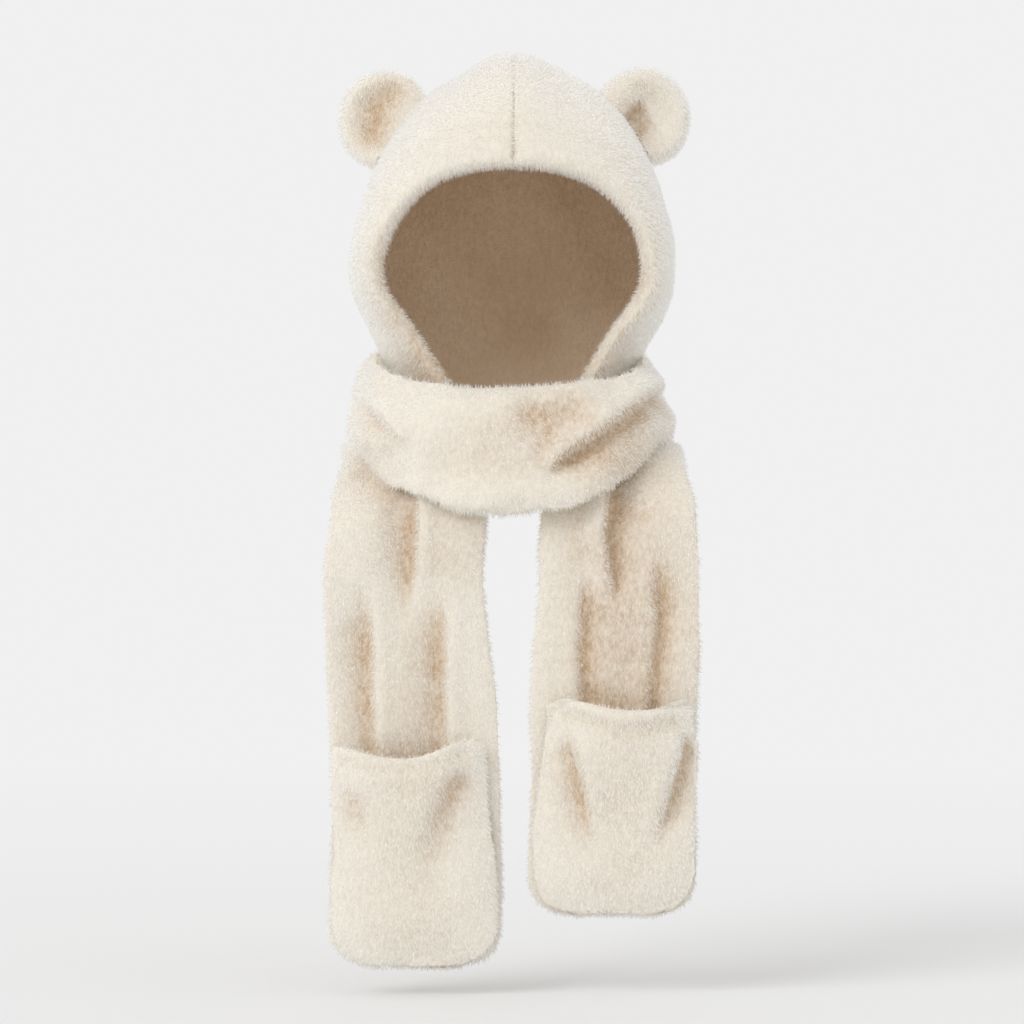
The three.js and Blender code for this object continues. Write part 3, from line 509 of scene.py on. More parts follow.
def makePileTree():
    tree = bpy.data.node_groups.new("plushPileTree", "GeometryNodeTree")
    sockets = tree.interface
    sockets.new_socket("Skin", in_out="INPUT", socket_type="NodeSocketGeometry")
    sockets.new_socket("Lock", in_out="INPUT", socket_type="NodeSocketObject")
    for name in ("Density", "Length", "Width", "Stand", "Lean", "Clump", "Clump Size", "Mess"):
        sockets.new_socket(name, in_out="INPUT", socket_type="NodeSocketFloat")
    sockets.new_socket("Comb", in_out="INPUT", socket_type="NodeSocketVector")
    sockets.new_socket("Seed", in_out="INPUT", socket_type="NodeSocketInt")
    sockets.new_socket("Material", in_out="INPUT", socket_type="NodeSocketMaterial")
    sockets.new_socket("Pile", in_out="OUTPUT", socket_type="NodeSocketGeometry")
    given = newNode(tree, "NodeGroupInput")
    out = newNode(tree, "NodeGroupOutput")
    link = tree.links.new

    def vectorMath(operation, a, b=None, scale=None):
        node = newNode(tree, "ShaderNodeVectorMath", operation=operation)
        for socket, value in ((node.inputs[0], a), (node.inputs[1], b), (node.inputs[3], scale)):
            if isinstance(value, bpy.types.NodeSocket):
                link(value, socket)
            elif value is not None:
                socket.default_value = value
        return node.outputs["Value"] if operation == "DOT_PRODUCT" else node.outputs["Vector"]

    def times(a, b):
        node = newNode(tree, "ShaderNodeMath", operation="MULTIPLY")
        link(a, node.inputs[0])
        link(b, node.inputs[1])
        return node.outputs[0]

    def randomOf(kind, low, high, offset):
        node = newNode(tree, "FunctionNodeRandomValue", data_type=kind)
        pick = {"FLOAT": (2, 3, 1), "FLOAT_VECTOR": (0, 1, 0)}[kind]
        node.inputs[pick[0]].default_value = low
        node.inputs[pick[1]].default_value = high
        shift = newNode(tree, "ShaderNodeMath", operation="ADD")
        link(given.outputs["Seed"], shift.inputs[0])
        shift.inputs[1].default_value = offset
        link(shift.outputs[0], node.inputs["Seed"])
        return node.outputs[pick[2]]

    share = newNode(tree, "GeometryNodeInputNamedAttribute", data_type="FLOAT")
    share.inputs["Name"].default_value = "pileShare"
    points = newNode(tree, "GeometryNodeDistributePointsOnFaces", distribute_method="RANDOM")
    link(given.outputs["Skin"], points.inputs["Mesh"])
    link(times(given.outputs["Density"], share.outputs["Attribute"]), points.inputs["Density"])
    link(given.outputs["Seed"], points.inputs["Seed"])
    keep = newNode(tree, "GeometryNodeStoreNamedAttribute", data_type="FLOAT_VECTOR", domain="POINT")
    keep.inputs["Name"].default_value = "clothNormal"
    link(points.outputs["Points"], keep.inputs["Geometry"])
    grows = newNode(tree, "GeometryNodeInputNamedAttribute", data_type="FLOAT_VECTOR")
    grows.inputs["Name"].default_value = "growWay"
    normal = vectorMath("NORMALIZE", grows.outputs["Attribute"])
    link(normal, keep.inputs["Value"])
    across = vectorMath("SCALE", normal, scale=vectorMath("DOT_PRODUCT", given.outputs["Comb"], normal))
    comb = vectorMath("SUBTRACT", given.outputs["Comb"], across)
    place = newNode(tree, "GeometryNodeInputPosition")
    swirl = newNode(tree, "ShaderNodeTexNoise")
    link(place.outputs[0], swirl.inputs["Vector"])
    link(given.outputs["Clump Size"], swirl.inputs["Scale"])
    swirl.inputs["Detail"].default_value = 1.0
    swirlWay = vectorMath("SUBTRACT", swirl.outputs["Color"], (0.5, 0.5, 0.5))
    way = vectorMath("SCALE", normal, scale=given.outputs["Stand"])
    way = vectorMath("ADD", way, vectorMath("SCALE", comb, scale=given.outputs["Lean"]))
    way = vectorMath("ADD", way, vectorMath("SCALE", swirlWay, scale=given.outputs["Clump"]))
    stray = randomOf("FLOAT_VECTOR", (-1, -1, -1), (1, 1, 1), 1)
    way = vectorMath("ADD", way, vectorMath("SCALE", stray, scale=given.outputs["Mess"]))
    spin = newNode(tree, "FunctionNodeAxisAngleToRotation")
    spin.inputs["Axis"].default_value = (0, 0, 1)
    link(randomOf("FLOAT", 0.0, 6.283, 2), spin.inputs["Angle"])
    aim = newNode(tree, "FunctionNodeAlignRotationToVector", axis="Z")
    link(spin.outputs["Rotation"], aim.inputs["Rotation"])
    link(way, aim.inputs["Vector"])
    size = newNode(tree, "ShaderNodeCombineXYZ")
    wide = times(given.outputs["Width"], randomOf("FLOAT", 0.75, 1.3, 3))
    link(wide, size.inputs["X"])
    link(wide, size.inputs["Y"])
    link(times(given.outputs["Length"], randomOf("FLOAT", 0.7, 1.2, 4)), size.inputs["Z"])
    lock = newNode(tree, "GeometryNodeObjectInfo")
    link(given.outputs["Lock"], lock.inputs["Object"])
    plant = newNode(tree, "GeometryNodeInstanceOnPoints")
    link(keep.outputs["Geometry"], plant.inputs["Points"])
    link(lock.outputs["Geometry"], plant.inputs["Instance"])
    link(aim.outputs["Rotation"], plant.inputs["Rotation"])
    link(size.outputs["Vector"], plant.inputs["Scale"])
    real = newNode(tree, "GeometryNodeRealizeInstances")
    link(plant.outputs["Instances"], real.inputs["Geometry"])
    dress = newNode(tree, "GeometryNodeSetMaterial")
    link(real.outputs["Geometry"], dress.inputs["Geometry"])
    link(given.outputs["Material"], dress.inputs["Material"])
    link(dress.outputs["Geometry"], out.inputs["Pile"])
    return tree


pileTree = makePileTree()
lockModel = linkNew("lock_model", lockMesh())

plushCoat = {
    "Density": 330000.0,
    "Length": 0.0038,
    "Width": 0.0011,
    "Stand": 0.85,
    "Lean": 0.55,
    "Clump": 0.6,
    "Clump Size": 120.0,
    "Mess": 0.22,
    "Comb": (0.0, 0.0, -1.0),
}


def growPile(skin, name, coat, material, seed):
    settings = dict(plushCoat)
    settings.update(coat)
    settings.update({"Seed": seed, "Lock": lockModel, "Material": material})
    grower = skin.modifiers.new("pile", "NODES")
    grower.node_group = pileTree
    for item in pileTree.interface.items_tree:
        if item.in_out == "INPUT" and item.name in settings:
            grower[item.identifier] = settings[item.name]
    mesh = finishedMesh(skin)
    skin.modifiers.remove(grower)
    mesh.materials.clear()
    mesh.materials.append(material)
    pile = linkNew(name, mesh)
    pile.visible_shadow = False
    pile.visible_diffuse = False
    print("pile", name, len(mesh.polygons), "triangles")
    return pile


def dressSkin(skin, look, settle, shape, pileShare, cloth):
    # settles and shapes a skin, sinks it under its pile and notes how much painted shade its folds and
    # hollows get and how furry it is
    mesh = skin.data
    setCo(mesh, averaged(getCo(mesh), getEdges(mesh), look.get("soften", 0)))
    setCo(mesh, settle(getCo(mesh)))
    co = getCo(mesh)
    normals = getNormals(mesh)
    move, tone = shape(co, normals)
    moved = co + normals * move[:, None]
    low = moved[:, 2].min()
    moved[:, 2] -= look.get("droop", 0) * ease(low + common["droopHeight"], low, moved[:, 2])
    setCo(mesh, moved)
    # painted shade in the hollows, added to that of the folds and made uneven at random
    deep = np.clip(hollowness(mesh, look["foldRounds"]) / look["foldDepth"], 0, 1)
    patches = lumps(moved, common["toneLumpSize"], common["toneLumpSeed"])
    uneven = common["toneSteady"] + common["toneLump"] * patches
    tone = uneven * (common["hollowShade"] * deep + tone)
    addValue(mesh, "foldShade", np.clip(tone, 0, common["toneMost"]))
    # the pile grows straight out, and down from an end that hangs free
    grow = averaged(getNormals(mesh), getEdges(mesh), common["growRounds"])
    if look.get("hangsFree"):
        above = moved[:, 2] - moved[:, 2].min()
        grow[:, 2] -= common["freeEndDown"] * ease(*common["freeEnd"], above)
    addWay(mesh, "growWay", grow)
    share = np.clip(pileShare(moved, getNormals(mesh)), 0, 1)
    addValue(mesh, "pileShare", share)
    sunk = moved - getNormals(mesh) * (common["skinSink"] * share)[:, None]
    # what touches the hood's middle plane stays on it, so that the seam doesn't gape
    onSeam = np.abs(co[:, 0]) < common["seamHalf"]
    sunk[onSeam, 0] = 0
    setCo(mesh, sunk)
    mesh.materials.clear()
    mesh.materials.append(cloth)


def finishPiece(piece, node):
    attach(piece, "root")
    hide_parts(node)


# Pieces

hoodLook = {
    "centre": (0.0, 0.008, -0.148),
    "lump": 0.0012,
    "lumpSize": 0.05,
    "lumpSeed": 3,
    "foldRounds": 60,
    "foldDepth": 0.004,
    "seamRidge": 0.0018,
    "seamWidth": 0.0035,
    # painted shade along the seam
    "seamShade": 0.08,
    "besideSwell": 0.0006,
    "besideAway": 0.011,
    "besideWidth": 0.008,
    "rimBand": 0.029,
    "groove": 0.001,
    "grooveWidth": 0.004,
    # painted shade in the groove behind the rolled edge
    "grooveShade": 0.12,
    # how much painted shade the rolled edge gets at the top, and how much more lower down
    "rimShade": {"top": 0.08, "left": 0.34, "right": 0.26},
    "rimLevels": (-0.08, -0.20),
    "rimSteady": 0.75,
    "rimLump": 0.25,
    "rimLumpSize": 0.012,
    "rimLumpSeed": 41,
    # the pile inside the wrap lies in the shade: painted shade, more on the left
    "tuckedShade": {"left": 0.45, "right": 0.25},
    "tuckedLevels": (-0.180, -0.235),
    "tuckedDepths": (-0.03, -0.06),
    # where the pile ends: past the rolled edge inside, and above the foot
    "rimPile": (0.034, 0.028),
    "footLevels": (-0.25, -0.258),
    "density": 320000.0,
    "cut": (0.30, 0.34),
    "cutArea": 0.083,
}


def outwardShare(co, normals):
    # 1 on faces that look away from the middle of the hood, -1 on its inner faces
    way = co - np.array(hoodLook["centre"])
    way /= np.linalg.norm(way, axis=1)[:, None]
    return np.einsum("ij,ij->i", way, normals)


def faceEdgeDistance(co):
    # distance from the front of the rolled face edge
    turn = np.degrees(np.arctan2(co[:, 0], co[:, 2] - hoodLook["centre"][2]))
    edge = []
    for low in range(-180, 180, 4):
        inBin = np.where((turn >= low) & (turn < low + 4))[0]
        if len(inBin):
            edge.append(co[inBin[np.argmin(co[inBin, 1])]])
    edge = np.array(edge)
    return np.min(np.linalg.norm(co[:, None, :] - edge[None, :, :], axis=2), axis=1)


def hoodShape(co, normals):
    outward = ease(-0.2, 0.4, outwardShare(co, normals))
    onLeft = co[:, 0] < 0
    move = hoodLook["lump"] * lumps(co, hoodLook["lumpSize"], hoodLook["lumpSeed"])
    seam = np.exp(-(co[:, 0] / hoodLook["seamWidth"]) ** 2)
    beside = np.exp(-((np.abs(co[:, 0]) - hoodLook["besideAway"]) / hoodLook["besideWidth"]) ** 2)
    move += outward * (hoodLook["besideSwell"] * beside + hoodLook["seamRidge"] * seam)
    back = faceEdgeDistance(co)
    groove = np.exp(-((back - hoodLook["rimBand"]) / hoodLook["grooveWidth"]) ** 2) * outward
    move -= hoodLook["groove"] * groove
    # painted shade on the rolled edge: more lower down and on the left, uneven at random
    more = np.where(onLeft, hoodLook["rimShade"]["left"], hoodLook["rimShade"]["right"])
    rolled = hoodLook["rimShade"]["top"] + more * ease(*hoodLook["rimLevels"], co[:, 2])
    rolled *= ease(hoodLook["rimBand"], hoodLook["rimBand"] / 2, back)
    uneven = lumps(co, hoodLook["rimLumpSize"], hoodLook["rimLumpSeed"])
    rolled *= hoodLook["rimSteady"] + hoodLook["rimLump"] * uneven
    # painted shade on the pile tucked inside the wrap
    tucked = ease(*hoodLook["tuckedLevels"], co[:, 2]) * ease(*hoodLook["tuckedDepths"], co[:, 1])
    tucked *= np.where(onLeft, hoodLook["tuckedShade"]["left"], hoodLook["tuckedShade"]["right"])
    # painted shade along the seam and in the groove
    seamShade = hoodLook["seamShade"] * seam * outward
    return move, hoodLook["grooveShade"] * groove + seamShade + tucked + rolled


def hoodShare(co, normals):
    # none on the inner face, which lies against the lining
    outward = outwardShare(co, normals)
    rim = ease(*hoodLook["rimPile"], faceEdgeDistance(co))
    share = np.maximum(ease(-0.1, 0.15, outward), rim)
    return share * (1 - ease(*hoodLook["footLevels"], co[:, 2]))


def fullShare(co, normals):
    return np.ones(len(co))


for side in ("left", "right"):
    skin = softSkin("hood_panel_" + side, "hood_plush_" + side)
    dressSkin(skin, hoodLook, settled, hoodShape, hoodShare, plushCloth)
    pile = growPile(skin, "hood_pile_" + side, {"Density": hoodLook["density"]}, plushPile, common["seed"])
    finishPiece(skin, "hood_panel_" + side)
    finishPiece(pile, "hood_panel_" + side)
print("hood done")

innerLook = {
    "lump": 0.0014,
    "lumpSize": 0.05,
    "lumpSeed": 5,
    "foldRounds": 60,
    "foldDepth": 0.004,
    # painted shade inside the lining, darker towards its top
    "topShade": 0.2,
    "topLevels": (-0.16, -0.03),
    "footLevels": (-0.24, -0.255),
    "coat": {"Density": 110000.0, "Length": 0.004, "Width": 0.0016},
    "cut": (0.46, 0.34),
    "cutArea": 0.135,
}


def liningShare(co, normals):
    # none on the outer face, which lies against the panels
    inward = ease(-0.1, 0.2, -outwardShare(co, normals))
    return inward * (1 - ease(*innerLook["footLevels"], co[:, 2]))


def liningShape(co, normals):
    # both faces of the thin lining move together, in from the panels
    sameWay = np.clip(3 * outwardShare(co, normals), -1, 1)
    inward = lumps(co, innerLook["lumpSize"], innerLook["lumpSeed"]) - 1
    move = innerLook["lump"] * inward * sameWay
    # painted shade, darker towards the top
    return move, innerLook["topShade"] * ease(*innerLook["topLevels"], co[:, 2])


skin = softSkin("hood_lining", "hood_lining_cloth")
dressSkin(skin, innerLook, settled, liningShape, liningShare, liningCloth)
pile = growPile(skin, "hood_lining_pile", innerLook["coat"], liningPile, common["seed"] + 1)
finishPiece(skin, "hood_lining")
finishPiece(pile, "hood_lining")
print("lining done")

earLook = {
    "density": 520000.0,
    "fill": 0.7,
    "lump": 0.001,
    "lumpSize": 0.03,
    "lumpSeed": 7,
    "foldRounds": 24,
    "foldDepth": 0.003,
    "soften": 3,
    # it is drawn down, and its top in towards the hood
    "outerOut": 0.0045,
    "topIn": 0.0035,
    "topUp": {"left": -0.001, "right": 0.002},
    "taller": 1.09,
    # dents with painted shade in them; the last on the right is painted shade only
    "folds": {
        "left": [
            {"path": [(-0.095, -0.012), (-0.107, -0.024), (-0.109, -0.043)], "deep": 0.006, "wide": 0.011,
             "tone": 0.8},
        ],
        "right": [
            {"path": [(0.081, -0.036), (0.094, -0.023), (0.102, -0.017)], "deep": 0.006, "lap": 0.004,
             "wide": 0.015, "over": 1, "tone": 0.8, "fade": (0, 0.3)},
            {"path": [(0.092, -0.049), (0.101, -0.038)], "deep": 0.003, "wide": 0.005, "tone": 0.5},
            {"path": [(0.078, -0.030), (0.100, -0.012)], "deep": 0, "wide": 0.012, "tone": 0.3},
        ],
    },
}


def settledEar(co):
    side = "right" if co[:, 0].mean() > 0 else "left"
    way = dict(sides)[side]
    top = co[:, 2].max()
    foot = co[:, 2].min()
    share = (co[:, 2] - foot) / (top - foot)
    out = way * co[:, 0]
    outer = ease(out.min(), out.max(), out)
    co = co.copy()
    co[:, 0] += way * (earLook["outerOut"] * outer - earLook["topIn"] * share)
    co[:, 2] = top + earLook["topUp"][side] - (top - co[:, 2]) * earLook["taller"]
    return co


def frontMarks(look, side):
    # folds drawn on the front as it is seen, in X and Z, which can also show through on the back; their
    # painted shade goes on the front only
    def shape(co, normals):
        front = ease(0.1, 0.5, -normals[:, 1])
        back = ease(0.1, 0.5, normals[:, 1])
        waver = common["waver"] * lumps(co, common["waverSize"], look["lumpSeed"] + 5)
        move, tone = foldMarks(co[:, 0] + waver, co[:, 2] + waver, look["folds"][side])
        uneven = look["lump"] * lumps(co, look["lumpSize"], look["lumpSeed"])
        return uneven + (front - look.get("through", 0) * back) * move, front * tone
    return shape


for side in ("left", "right"):
    skin = softSkin("ear_" + side, "ear_plush_" + side)
    dressSkin(skin, earLook, settledEar, frontMarks(earLook, side), fullShare, plushCloth)
    pile = growPile(skin, "ear_pile_" + side, {"Density": earLook["density"]}, plushPile,
                    common["seed"] + 2)
    finishPiece(skin, "ear_" + side)
    finishPiece(pile, "ear_" + side)
print("ears done")

wrapLook = {
    "density": 215000.0,
    "fill": 0.5,
    # the simulation that fills it: lengths in m
    "air": {"cell": 0.006, "smaller": 0.0005, "pressure": 4.0, "stiffness": 5.0, "bending": 0.05,
            "spare": 0.06, "quality": 6, "steps": 20, "cap": 0.006},
    "middleY": 0.008,
    "heldFacing": (0.45, 0.05),
    "foldDepths": (0.03, -0.01),
    "lump": 0.0012,
    "lumpSize": 0.045,
    "lumpSeed": 9,
    "foldRounds": 60,
    "foldDepth": 0.006,
    "soften": 3,
    # by place in X: how far the lower edge of its front hangs down
    "sag": [(-0.135, -0.022), (-0.102, -0.022), (-0.081, -0.014), (-0.060, -0.008), (-0.020, -0.002),
            (0.020, -0.001), (0.046, -0.004), (0.070, -0.006), (0.094, -0.008), (0.130, -0.009)],
    "sagDepths": (0.05, -0.03),
    "sagLevels": (-0.245, -0.290),
    # how far its lower corner on the left comes forward
    "cornerForward": 0.017,
    "cornerPlaces": (-0.05, -0.10),
    "cornerLevels": (-0.265, -0.300),
    # by level in Z: how far its upper edge lies in towards the hood
    "tuck": {"left": [(-0.270, 0), (-0.254, 0.002), (-0.237, 0.003)],
             "right": [(-0.270, 0), (-0.254, 0.004), (-0.237, 0.008)]},
    "tuckOuter": (0.085, 0.125),
    # folds with painted shade in their recesses and beside their edges
    "folds": [
        # the right-hand layer over the lower one
        {"path": [(0.129, -0.238), (0.108, -0.249), (0.080, -0.271), (0.062, -0.284), (0.035, -0.301),
                  (0.021, -0.318)],
         "deep": 0.010, "lap": 0.006, "wide": 0.017, "over": -1, "tone": 0.85, "thin": 0.5,
         "fade": (0.2, 0.25)},
        # the left-hand crease
        {"path": [(-0.121, -0.252), (-0.103, -0.271), (-0.079, -0.295)], "deep": 0.006, "lap": 0.004,
         "wide": 0.013, "over": 1, "tone": 0.4, "fade": (0.25, 0.4)},
        # the dent right of the middle, and what runs down from it
        {"path": [(0.015, -0.268), (0.042, -0.263)], "deep": 0.005, "wide": 0.013, "tone": 0.62},
        {"path": [(0.034, -0.272), (0.022, -0.294), (0.021, -0.316)], "deep": 0.0025, "wide": 0.006,
         "tone": 0.3, "fade": (0.2, 0.4)},
        # painted shade with no relief, where the pile lies the other way
        {"path": [(-0.020, -0.292), (0.040, -0.285), (0.080, -0.296)], "deep": 0, "wide": 0.022,
         "tone": 0.28},
        {"path": [(0.060, -0.305), (0.090, -0.290)], "deep": 0, "wide": 0.016, "tone": 0.35},
    ],
}


def wrapOutward(co, normals):
    # 1 where it faces straight out from the neck, -1 where it faces the neck
    y = co[:, 1] - wrapLook["middleY"]
    return (normals[:, 0] * co[:, 0] + normals[:, 1] * y) / np.hypot(co[:, 0], y)


def wrapHeld(co, normals):
    # the inner side and the upper and lower edges stay where they are
    return ease(*wrapLook["heldFacing"], wrapOutward(co, normals))


def settledWrap(co):
    co = settled(co)
    front = ease(*wrapLook["sagDepths"], co[:, 1])
    co[:, 2] += readTable(wrapLook["sag"], co[:, 0]) * front * ease(*wrapLook["sagLevels"], co[:, 2])
    corner = ease(*wrapLook["cornerPlaces"], co[:, 0]) * ease(*wrapLook["cornerLevels"], co[:, 2])
    co[:, 1] -= wrapLook["cornerForward"] * corner * front
    for side, way in sides:
        outer = ease(*wrapLook["tuckOuter"], way * co[:, 0])
        co[:, 0] -= way * readTable(wrapLook["tuck"][side], co[:, 2]) * outer
    return co


def wrapShape(co, normals):
    front = ease(*wrapLook["foldDepths"], co[:, 1]) * ease(0.0, 0.5, wrapOutward(co, normals))
    move, tone = foldMarks(co[:, 0], co[:, 2], wrapLook["folds"])
    uneven = wrapLook["lump"] * lumps(co, wrapLook["lumpSize"], wrapLook["lumpSeed"])
    return uneven + front * move, front * tone


skin = softSkin("neck_wrap", "neck_wrap_plush")
filledOut(skin, wrapLook["air"], wrapHeld)
dressSkin(skin, wrapLook, settledWrap, wrapShape, fullShare, plushCloth)
pile = growPile(skin, "neck_wrap_pile", {"Density": wrapLook["density"]}, plushPile, common["seed"] + 3)
finishPiece(skin, "neck_wrap")
finishPiece(pile, "neck_wrap")
print("wrap done")

tailLook = {
    "density": 245000.0,
    "cut": {"left": (0.125, 0.52), "right": (0.125, 0.48)},
    "lump": 0.0014,
    "lumpSize": 0.04,
    "lumpSeed": 13,
    "through": 0.6,
    "foldRounds": 40,
    "foldDepth": 0.005,
    "soften": 2,
    "hangsFree": True,
    # folds with painted shade beside them; marks of no depth are painted shade only, with no relief
    "folds": {
        "left": [
            {"path": [(-0.075, -0.300), (-0.075, -0.333), (-0.075, -0.385), (-0.081, -0.424)],
             "deep": 0.009, "lap": 0.005, "wide": 0.023, "over": 1, "thin": 0.4, "tone": 0.55,
             "fade": (0, 0.4)},
            {"path": [(-0.049, -0.392), (-0.053, -0.420), (-0.054, -0.461), (-0.053, -0.522)],
             "deep": 0.006, "lap": 0.004, "wide": 0.015, "over": 1, "thin": 1.6, "tone": 0.4,
             "fade": (0.4, 0)},
            {"path": [(-0.110, -0.385), (-0.108, -0.420), (-0.108, -0.453), (-0.105, -0.522)],
             "deep": 0.006, "lap": 0.004, "wide": 0.016, "over": 1, "tone": 0.42, "fade": (0.4, 0)},
            {"path": [(-0.042, -0.330), (-0.044, -0.420)], "deep": 0, "wide": 0.022, "tone": 0.3,
             "fade": (0.1, 0.5)},
            # painted shade above the pocket's mouth
            {"path": [(-0.100, -0.522), (-0.075, -0.528), (-0.052, -0.522)], "deep": 0.001,
             "wide": 0.010, "tone": 0.4},
            {"path": [(-0.070, -0.440), (-0.080, -0.520)], "deep": 0, "wide": 0.016, "tone": 0.2},
            # painted shadow under the wrap
            {"path": [(-0.128, -0.306), (-0.106, -0.324), (-0.086, -0.333)], "deep": 0, "wide": 0.009,
             "tone": 0.55, "fade": (0.2, 0.1)},
        ],
        "right": [
            {"path": [(0.072, -0.300), (0.070, -0.340), (0.069, -0.358), (0.073, -0.380), (0.078, -0.418)],
             "deep": 0.010, "lap": 0.005, "wide": 0.021, "over": -1, "thin": 0.3, "tone": 0.88,
             "fade": (0, 0.3)},
            {"path": [(0.052, -0.380), (0.052, -0.407), (0.050, -0.446), (0.052, -0.482)],
             "deep": 0.005, "lap": 0.003, "wide": 0.010, "over": -1, "tone": 0.55, "fade": (0.4, 0)},
            {"path": [(0.108, -0.362), (0.108, -0.418), (0.105, -0.454), (0.102, -0.492)],
             "deep": 0.006, "lap": 0.003, "wide": 0.011, "over": -1, "tone": 0.55, "fade": (0.35, 0)},
            # painted shade above the pocket's mouth
            {"path": [(0.058, -0.480), (0.078, -0.487), (0.098, -0.488)], "deep": 0.002, "wide": 0.010,
             "tone": 0.6},
            # painted shade over the right tail, which lies in shade, with no relief
            {"path": [(0.095, -0.340), (0.115, -0.430)], "deep": 0, "wide": 0.028, "tone": 0.25},
            {"path": [(0.075, -0.400), (0.078, -0.490)], "deep": 0, "wide": 0.032, "tone": 0.44},
            {"path": [(0.046, -0.338), (0.048, -0.366)], "deep": 0, "wide": 0.012, "tone": 0.35},
            {"path": [(0.075, -0.430), (0.080, -0.465)], "deep": 0, "wide": 0.020, "tone": 0.3},
        ],
    },
}
pocketLook = {
    "density": 350000.0,
    "cut": {"left": (0.125, 0.17), "right": (0.125, 0.165)},
    "lump": 0.0012,
    "lumpSize": 0.035,
    "lumpSeed": 17,
    "through": 1.0,
    "foldRounds": 40,
    "foldDepth": 0.005,
    "soften": 2,
    "droop": 0.0018,
    "hangsFree": True,
    # creases with painted shade in them; marks of no depth are painted shade only
    "folds": {
        "left": [
            {"path": [(-0.036, -0.533), (-0.052, -0.568), (-0.063, -0.600), (-0.072, -0.630)],
             "deep": 0.006, "wide": 0.007, "thin": 2.2, "tone": 0.48, "fade": (0.12, 0.7)},
            {"path": [(-0.128, -0.541), (-0.119, -0.567), (-0.110, -0.600)], "deep": 0.003,
             "wide": 0.008, "tone": 0.22, "fade": (0.35, 0.6)},
            # painted shade below the hem
            {"path": [(-0.096, -0.549), (-0.052, -0.545)], "deep": 0.001, "wide": 0.010, "tone": 0.2,
             "fade": (0.3, 0.2)},
            {"path": [(-0.134, -0.528), (-0.103, -0.535), (-0.078, -0.534), (-0.052, -0.529),
                      (-0.033, -0.522)], "deep": 0.003, "wide": 0.006, "tone": 0.2, "fade": (0.05, 0.05)},
            # broad painted shade down the middle
            {"path": [(-0.088, -0.570), (-0.076, -0.650)], "deep": 0, "wide": 0.028, "tone": 0.2},
        ],
        "right": [
            {"path": [(0.043, -0.502), (0.053, -0.550), (0.060, -0.604)], "deep": 0.007, "lap": 0.004,
             "wide": 0.015, "over": 1, "tone": 0.56, "fade": (0.2, 0.5)},
            {"path": [(0.129, -0.504), (0.114, -0.560), (0.104, -0.600)], "deep": 0.007, "lap": 0.004,
             "wide": 0.015, "over": -1, "tone": 0.56, "fade": (0.15, 0.5)},
            {"path": [(0.031, -0.494), (0.047, -0.491), (0.069, -0.500), (0.089, -0.504), (0.105, -0.502),
                      (0.128, -0.498)], "deep": 0.003, "wide": 0.006, "tone": 0.2, "fade": (0.05, 0.05)},
            # broad painted shade down the middle
            {"path": [(0.080, -0.530), (0.085, -0.600)], "deep": 0, "wide": 0.032, "tone": 0.22},
        ],
    },
}

for side in ("left", "right"):
    skin = softSkin("tail_" + side, "tail_plush_" + side, True)
    dressSkin(skin, tailLook, settled, frontMarks(tailLook, side), fullShare, plushCloth)
    pile = growPile(skin, "tail_pile_" + side, {"Density": tailLook["density"]}, plushPile,
                    common["seed"] + 4)
    finishPiece(skin, "tail_" + side)
    finishPiece(pile, "tail_" + side)
    skin = softSkin("pocket_" + side, "pocket_plush_" + side, True)
    dressSkin(skin, pocketLook, settled, frontMarks(pocketLook, side), fullShare, plushCloth)
    pile = growPile(skin, "pocket_pile_" + side, {"Density": pocketLook["density"]}, plushPile,
                    common["seed"] + 5)
    finishPiece(skin, "pocket_" + side)
    finishPiece(pile, "pocket_" + side)
print("tails and pockets done")

bpy.data.objects.remove(lockModel)

# Floor, light and camera
studio = {
    "floorZ": -0.705,
    "floorRadius": 4.2,
    "sweepRadius": 1.4,
    "wallHeight": 0.6,
    "floorColour": "#E6E6E6",
    "wallColour": "#F0F0F0",
    "wallStart": 1.0,
    "wallFull": 2.8,
    "bendSteps": 13,
    "turnSteps": 96,
    "cornerPower": 8,  # the higher, the squarer the floor
    "keyFrom": (-0.80, -0.75, 0.75),
    "keyStrength": 1.15,
    "keySoftness": 35,
    "roomLight": 0.85,
    "clipEnd": 50,
    "cameraDistance": 3.2,
    "cameraX": -0.00156,
    "cameraZ": -0.341,
    "focalPixels": 4102.6,
    "framePixels": 1024,
    "sensor": 36.0,
}


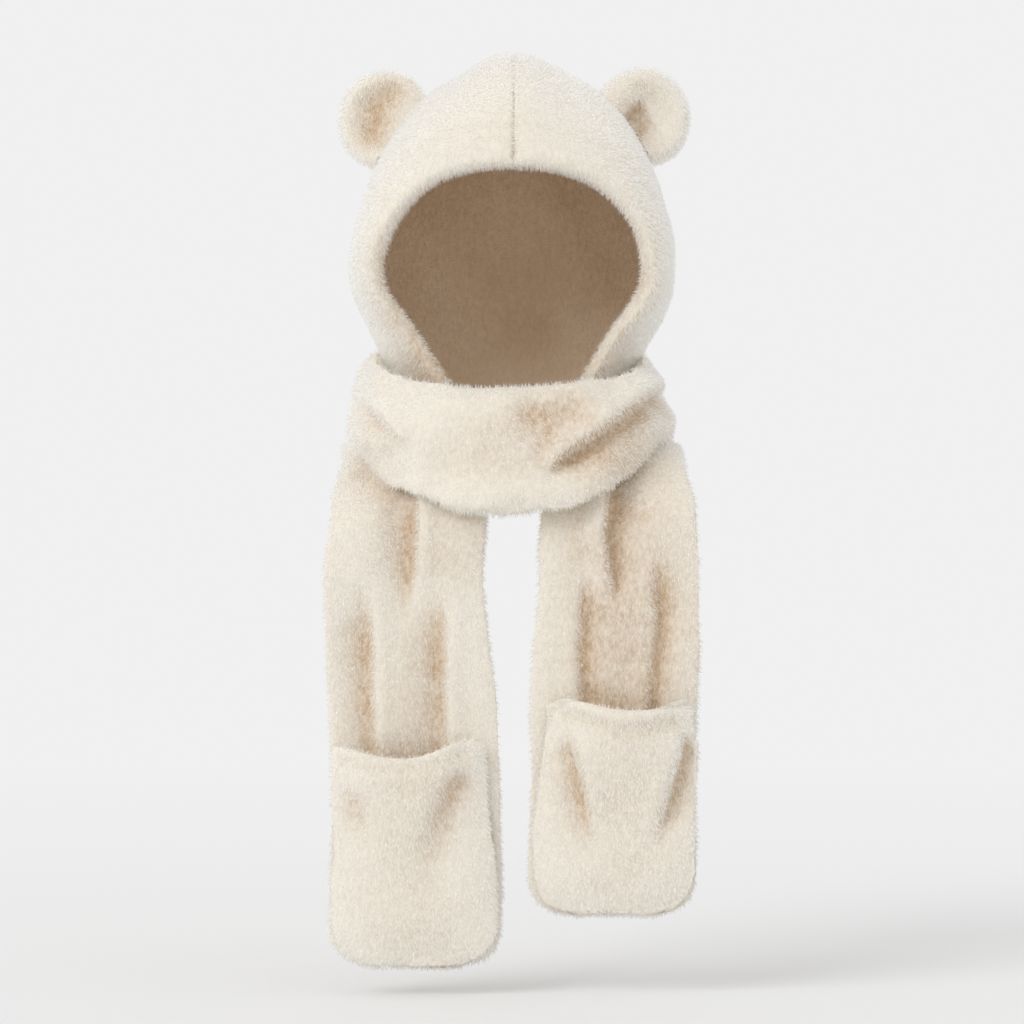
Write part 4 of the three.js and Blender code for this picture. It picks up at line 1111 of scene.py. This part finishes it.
def makeBackdrop():
    # a floor that sweeps up into four walls with round corners, so that it is plain all round
    bends = np.linspace(0, math.pi / 2, studio["bendSteps"])
    line = [(studio["floorRadius"] + studio["sweepRadius"] * math.sin(b),
             studio["floorZ"] + studio["sweepRadius"] * (1 - math.cos(b))) for b in bends]
    line.append((line[-1][0], line[-1][1] + studio["wallHeight"]))
    steps = studio["turnSteps"]
    power = studio["cornerPower"]
    verts = [(0, 0, studio["floorZ"])]
    for radius, z in line:
        for k in range(steps):
            turn = 2 * math.pi * k / steps
            square = (abs(math.cos(turn)) ** power + abs(math.sin(turn)) ** power) ** (-1 / power)
            verts.append((square * radius * math.cos(turn), square * radius * math.sin(turn), z))
    faces = [(0, 1 + k, 1 + (k + 1) % steps) for k in range(steps)]
    for i in range(len(line) - 1):
        for k in range(steps):
            near = 1 + i * steps
            after = (k + 1) % steps
            faces.append((near + k, near + steps + k, near + steps + after, near + after))
    mesh = bpy.data.meshes.new("backdrop")
    mesh.from_pydata(verts, [], faces)
    for polygon in mesh.polygons:
        polygon.use_smooth = True
    backdrop = linkNew("backdrop", mesh)
    material = bpy.data.materials.new("paper_backdrop")
    material.use_nodes = True
    shader = material.node_tree.nodes["Principled BSDF"]
    tree = material.node_tree
    shader.inputs["Base Color"].default_value = rgb(studio["floorColour"])
    shader.inputs["Roughness"].default_value = 0.9
    shader.inputs["Specular IOR Level"].default_value = 0.1
    # away from the piece the paper is evenly lit, by its own light
    place = newNode(tree, "ShaderNodeTexCoord")
    distance = newNode(tree, "ShaderNodeVectorMath", operation="LENGTH")
    tree.links.new(place.outputs["Object"], distance.inputs[0])
    far = ranged(tree, distance.outputs["Value"], studio["wallStart"], studio["wallFull"], 0.0, 1.0)
    even = newNode(tree, "ShaderNodeEmission")
    even.inputs["Color"].default_value = rgb(studio["wallColour"])
    blend = newNode(tree, "ShaderNodeMixShader")
    tree.links.new(far, blend.inputs["Fac"])
    tree.links.new(shader.outputs[0], blend.inputs[1])
    tree.links.new(even.outputs[0], blend.inputs[2])
    tree.links.new(blend.outputs[0], tree.nodes["Material Output"].inputs["Surface"])
    mesh.materials.append(material)


def addSun(name, comesFrom, strength, softness):
    light = bpy.data.lights.new(name, "SUN")
    light.energy = strength
    light.angle = math.radians(softness)
    lamp = bpy.data.objects.new(name, light)
    lamp.rotation_euler = Vector(comesFrom).to_track_quat("Z", "Y").to_euler()
    scene.collection.objects.link(lamp)


makeBackdrop()
addSun("key_light", studio["keyFrom"], studio["keyStrength"], studio["keySoftness"])
world = bpy.data.worlds.new("studio_world")
world.use_nodes = True
background = world.node_tree.nodes["Background"]
background.inputs["Color"].default_value = (1, 1, 1, 1)
background.inputs["Strength"].default_value = studio["roomLight"]
scene.world = world
scene.view_settings.view_transform = "Standard"

camera = bpy.data.cameras.new("camera")
camera.sensor_width = studio["sensor"]
camera.lens = studio["focalPixels"] / studio["framePixels"] * studio["sensor"]
camera.clip_end = studio["clipEnd"]
cameraObject = bpy.data.objects.new("camera", camera)
cameraObject.location = (studio["cameraX"], -studio["cameraDistance"], studio["cameraZ"])
cameraObject.rotation_euler = (math.pi / 2, 0, 0)
scene.collection.objects.link(cameraObject)
scene.camera = cameraObject
